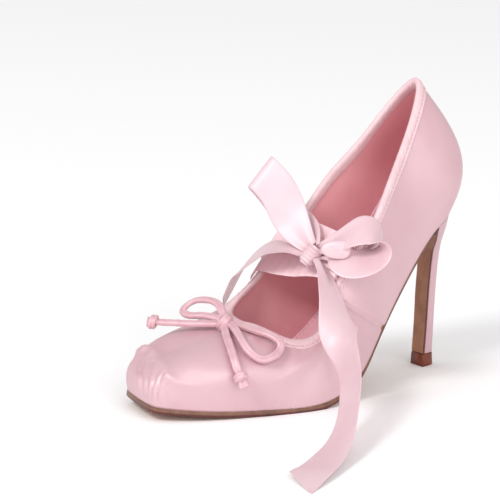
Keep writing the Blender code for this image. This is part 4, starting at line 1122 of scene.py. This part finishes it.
def makeSole(work, rings):
    top, low, soleRows = soleFaces(work, rings)
    rows, columns = top.shape[:2]
    count = rows * columns
    face, _ = gridFaces(rows, columns, False, False)
    upper, lower = rimLoop(top), rimLoop(low)
    outward = unit(np.cross(np.roll(upper, -1, axis=0) - np.roll(upper, 1, axis=0), upper - lower))
    if (outward * (upper - upper.mean(axis=0))).sum() < 0:
        outward = -outward
    points = [top.reshape(-1, 3), low.reshape(-1, 3)]
    loops = [rimLoop(np.arange(count).reshape(rows, columns, 1))[:, 0]]
    for k in range(1, work["rim"]):
        share = k / work["rim"]
        loops.append(2 * count + (k - 1) * len(upper) + np.arange(len(upper)))
        points.append(upper + (lower - upper) * share + outward * work["bulge"] * math.sin(share * math.pi) ** 0.6)
    loops.append(loops[0] + count)
    # materials: 0 on both faces, 1 on the edge, 2 on the inked line and round the breast
    onBreast = rimLoop(np.repeat((np.arange(rows) >= soleRows)[:, None, None], columns, axis=1))[:, 0]
    faces, parts = [face, face[:, ::-1] + count], [np.zeros(2 * len(face))]
    for k, (a, b) in enumerate(zip(loops, loops[1:])):
        faces.append(np.stack([a, b, np.roll(b, -1), np.roll(a, -1)], axis=1))
        parts.append(np.where(onBreast | (k >= work["rim"] - 2), 2, 1))
    points, faces = np.vstack(points), np.vstack(faces)
    if not turnedOut(points, faces):
        faces = faces[:, ::-1]
    sole = makeMesh("sole_leather", points, faces.tolist())
    dress(sole, "sole_leather", ["soleLeatherRolled", "soleEdgeWaxed", "edgeInkPainted"], "outsole")
    sole.data.polygons.foreach_set("material_index", np.concatenate(parts).astype(np.int32))
    selectOnly(sole)
    bpy.ops.object.shade_smooth_by_angle(angle=math.radians(work["smoothBelow"]))


makeSole(soleWork, heelRingSet)
print("stage: heel and sole")

# Thread loop that holds the ribbon
keeperWork = {"radius": 0.8, "span": (5.3, 6.7), "depth": 10.0, "stand": 21.8, "lift": 4.5, "sewnIn": 1.4,
              "offWall": 0.6, "bendAt": 0.6, "corner": 0.15, "rings": 90, "sides": 14}


def makeKeeper(work):
    # two feet sewn into the lining, and a bar that the ribbon's ends pass behind
    feet, out = wallFace(work["span"], work["depth"], fromTop=True)
    inward = -out
    feet = feet + inward * (lastShape["wall"] + work["offWall"] + work["radius"])
    bar = feet.copy()
    bar[:, 0] = work["stand"]
    bar[:, 2] += work["lift"]
    bend = feet + (bar - feet) * work["bendAt"]
    near, far = 1 - work["corner"], work["corner"]
    sewn = feet - inward * work["sewnIn"]
    rows = [sewn[0], feet[0], bend[0], bar[0] * near + bar[1] * far, bar.mean(axis=0), bar[0] * far + bar[1] * near,
            bend[1], feet[1], sewn[1]]
    line = smoothPath(rows, work["rings"])
    section = cordSection(2 * work["radius"], 2 * work["radius"], work["sides"])
    thread = sweep("ribbon_keeper_thread", line, np.tile([0.1, 0.2, 1.0], (len(line), 1)), section)
    dress(thread, "cord_satin", "cordSatinFolded", "ribbon_keeper")


makeKeeper(keeperWork)
print("stage: thread loop")

# Floor and light
# a key lamp high on the toe's side, a wide soft lamp on the outer side, and a weak one that opens the toe's shadows
studio = {
    "lamps": {
        "key": {"around": -75, "up": 42, "away": 5.0, "size": 1.2, "power": 101},
        "side": {"around": -6, "up": 22, "away": 3.0, "size": 2.5, "power": 43},
        "toe": {"around": -112, "up": 20, "away": 3.0, "size": 1.8, "power": 9},
    },
    "room": 0.68, "floor": 14, "paper": "#FCFCFC", "paperGloss": {"Roughness": 0.9, "Specular IOR Level": 0.1},
}


def addLights(setup):
    for name, lamp in setup["lamps"].items():
        turn, up = math.radians(lamp["around"]), math.radians(lamp["up"])
        way = np.array([math.cos(turn) * math.cos(up), math.sin(turn) * math.cos(up), math.sin(up)])
        bpy.ops.object.light_add(type="AREA", location=way * lamp["away"],
                                 rotation=(math.pi / 2 - up, 0, turn + math.pi / 2))
        made = bpy.context.object
        made.name = name + "Lamp"
        made.data.size = lamp["size"]
        made.data.energy = lamp["power"]
    world = bpy.data.worlds.new("studioRoom")
    world.use_nodes = True
    sky = world.node_tree.nodes["Background"].inputs
    sky["Color"].default_value = (1, 1, 1, 1)
    sky["Strength"].default_value = setup["room"]
    bpy.context.scene.world = world


def addFloor(setup):
    selectOnly()
    bpy.ops.mesh.primitive_plane_add(size=setup["floor"], location=(0, 0, 0))
    floor = bpy.context.object
    floor.name = "studioFloor"
    # matt backdrop paper: no shine, so only the soft shadow shows on it
    made, _, surface = newMaterial("backdropPaperMatt")
    surface.inputs["Base Color"].default_value = toLinear(setup["paper"])
    for socket, value in setup["paperGloss"].items():
        surface.inputs[socket].default_value = value
    floor.data.materials.append(made)


addLights(studio)
addFloor(studio)
bpy.context.scene.view_settings.view_transform = "Standard"
print("stage: floor and light")
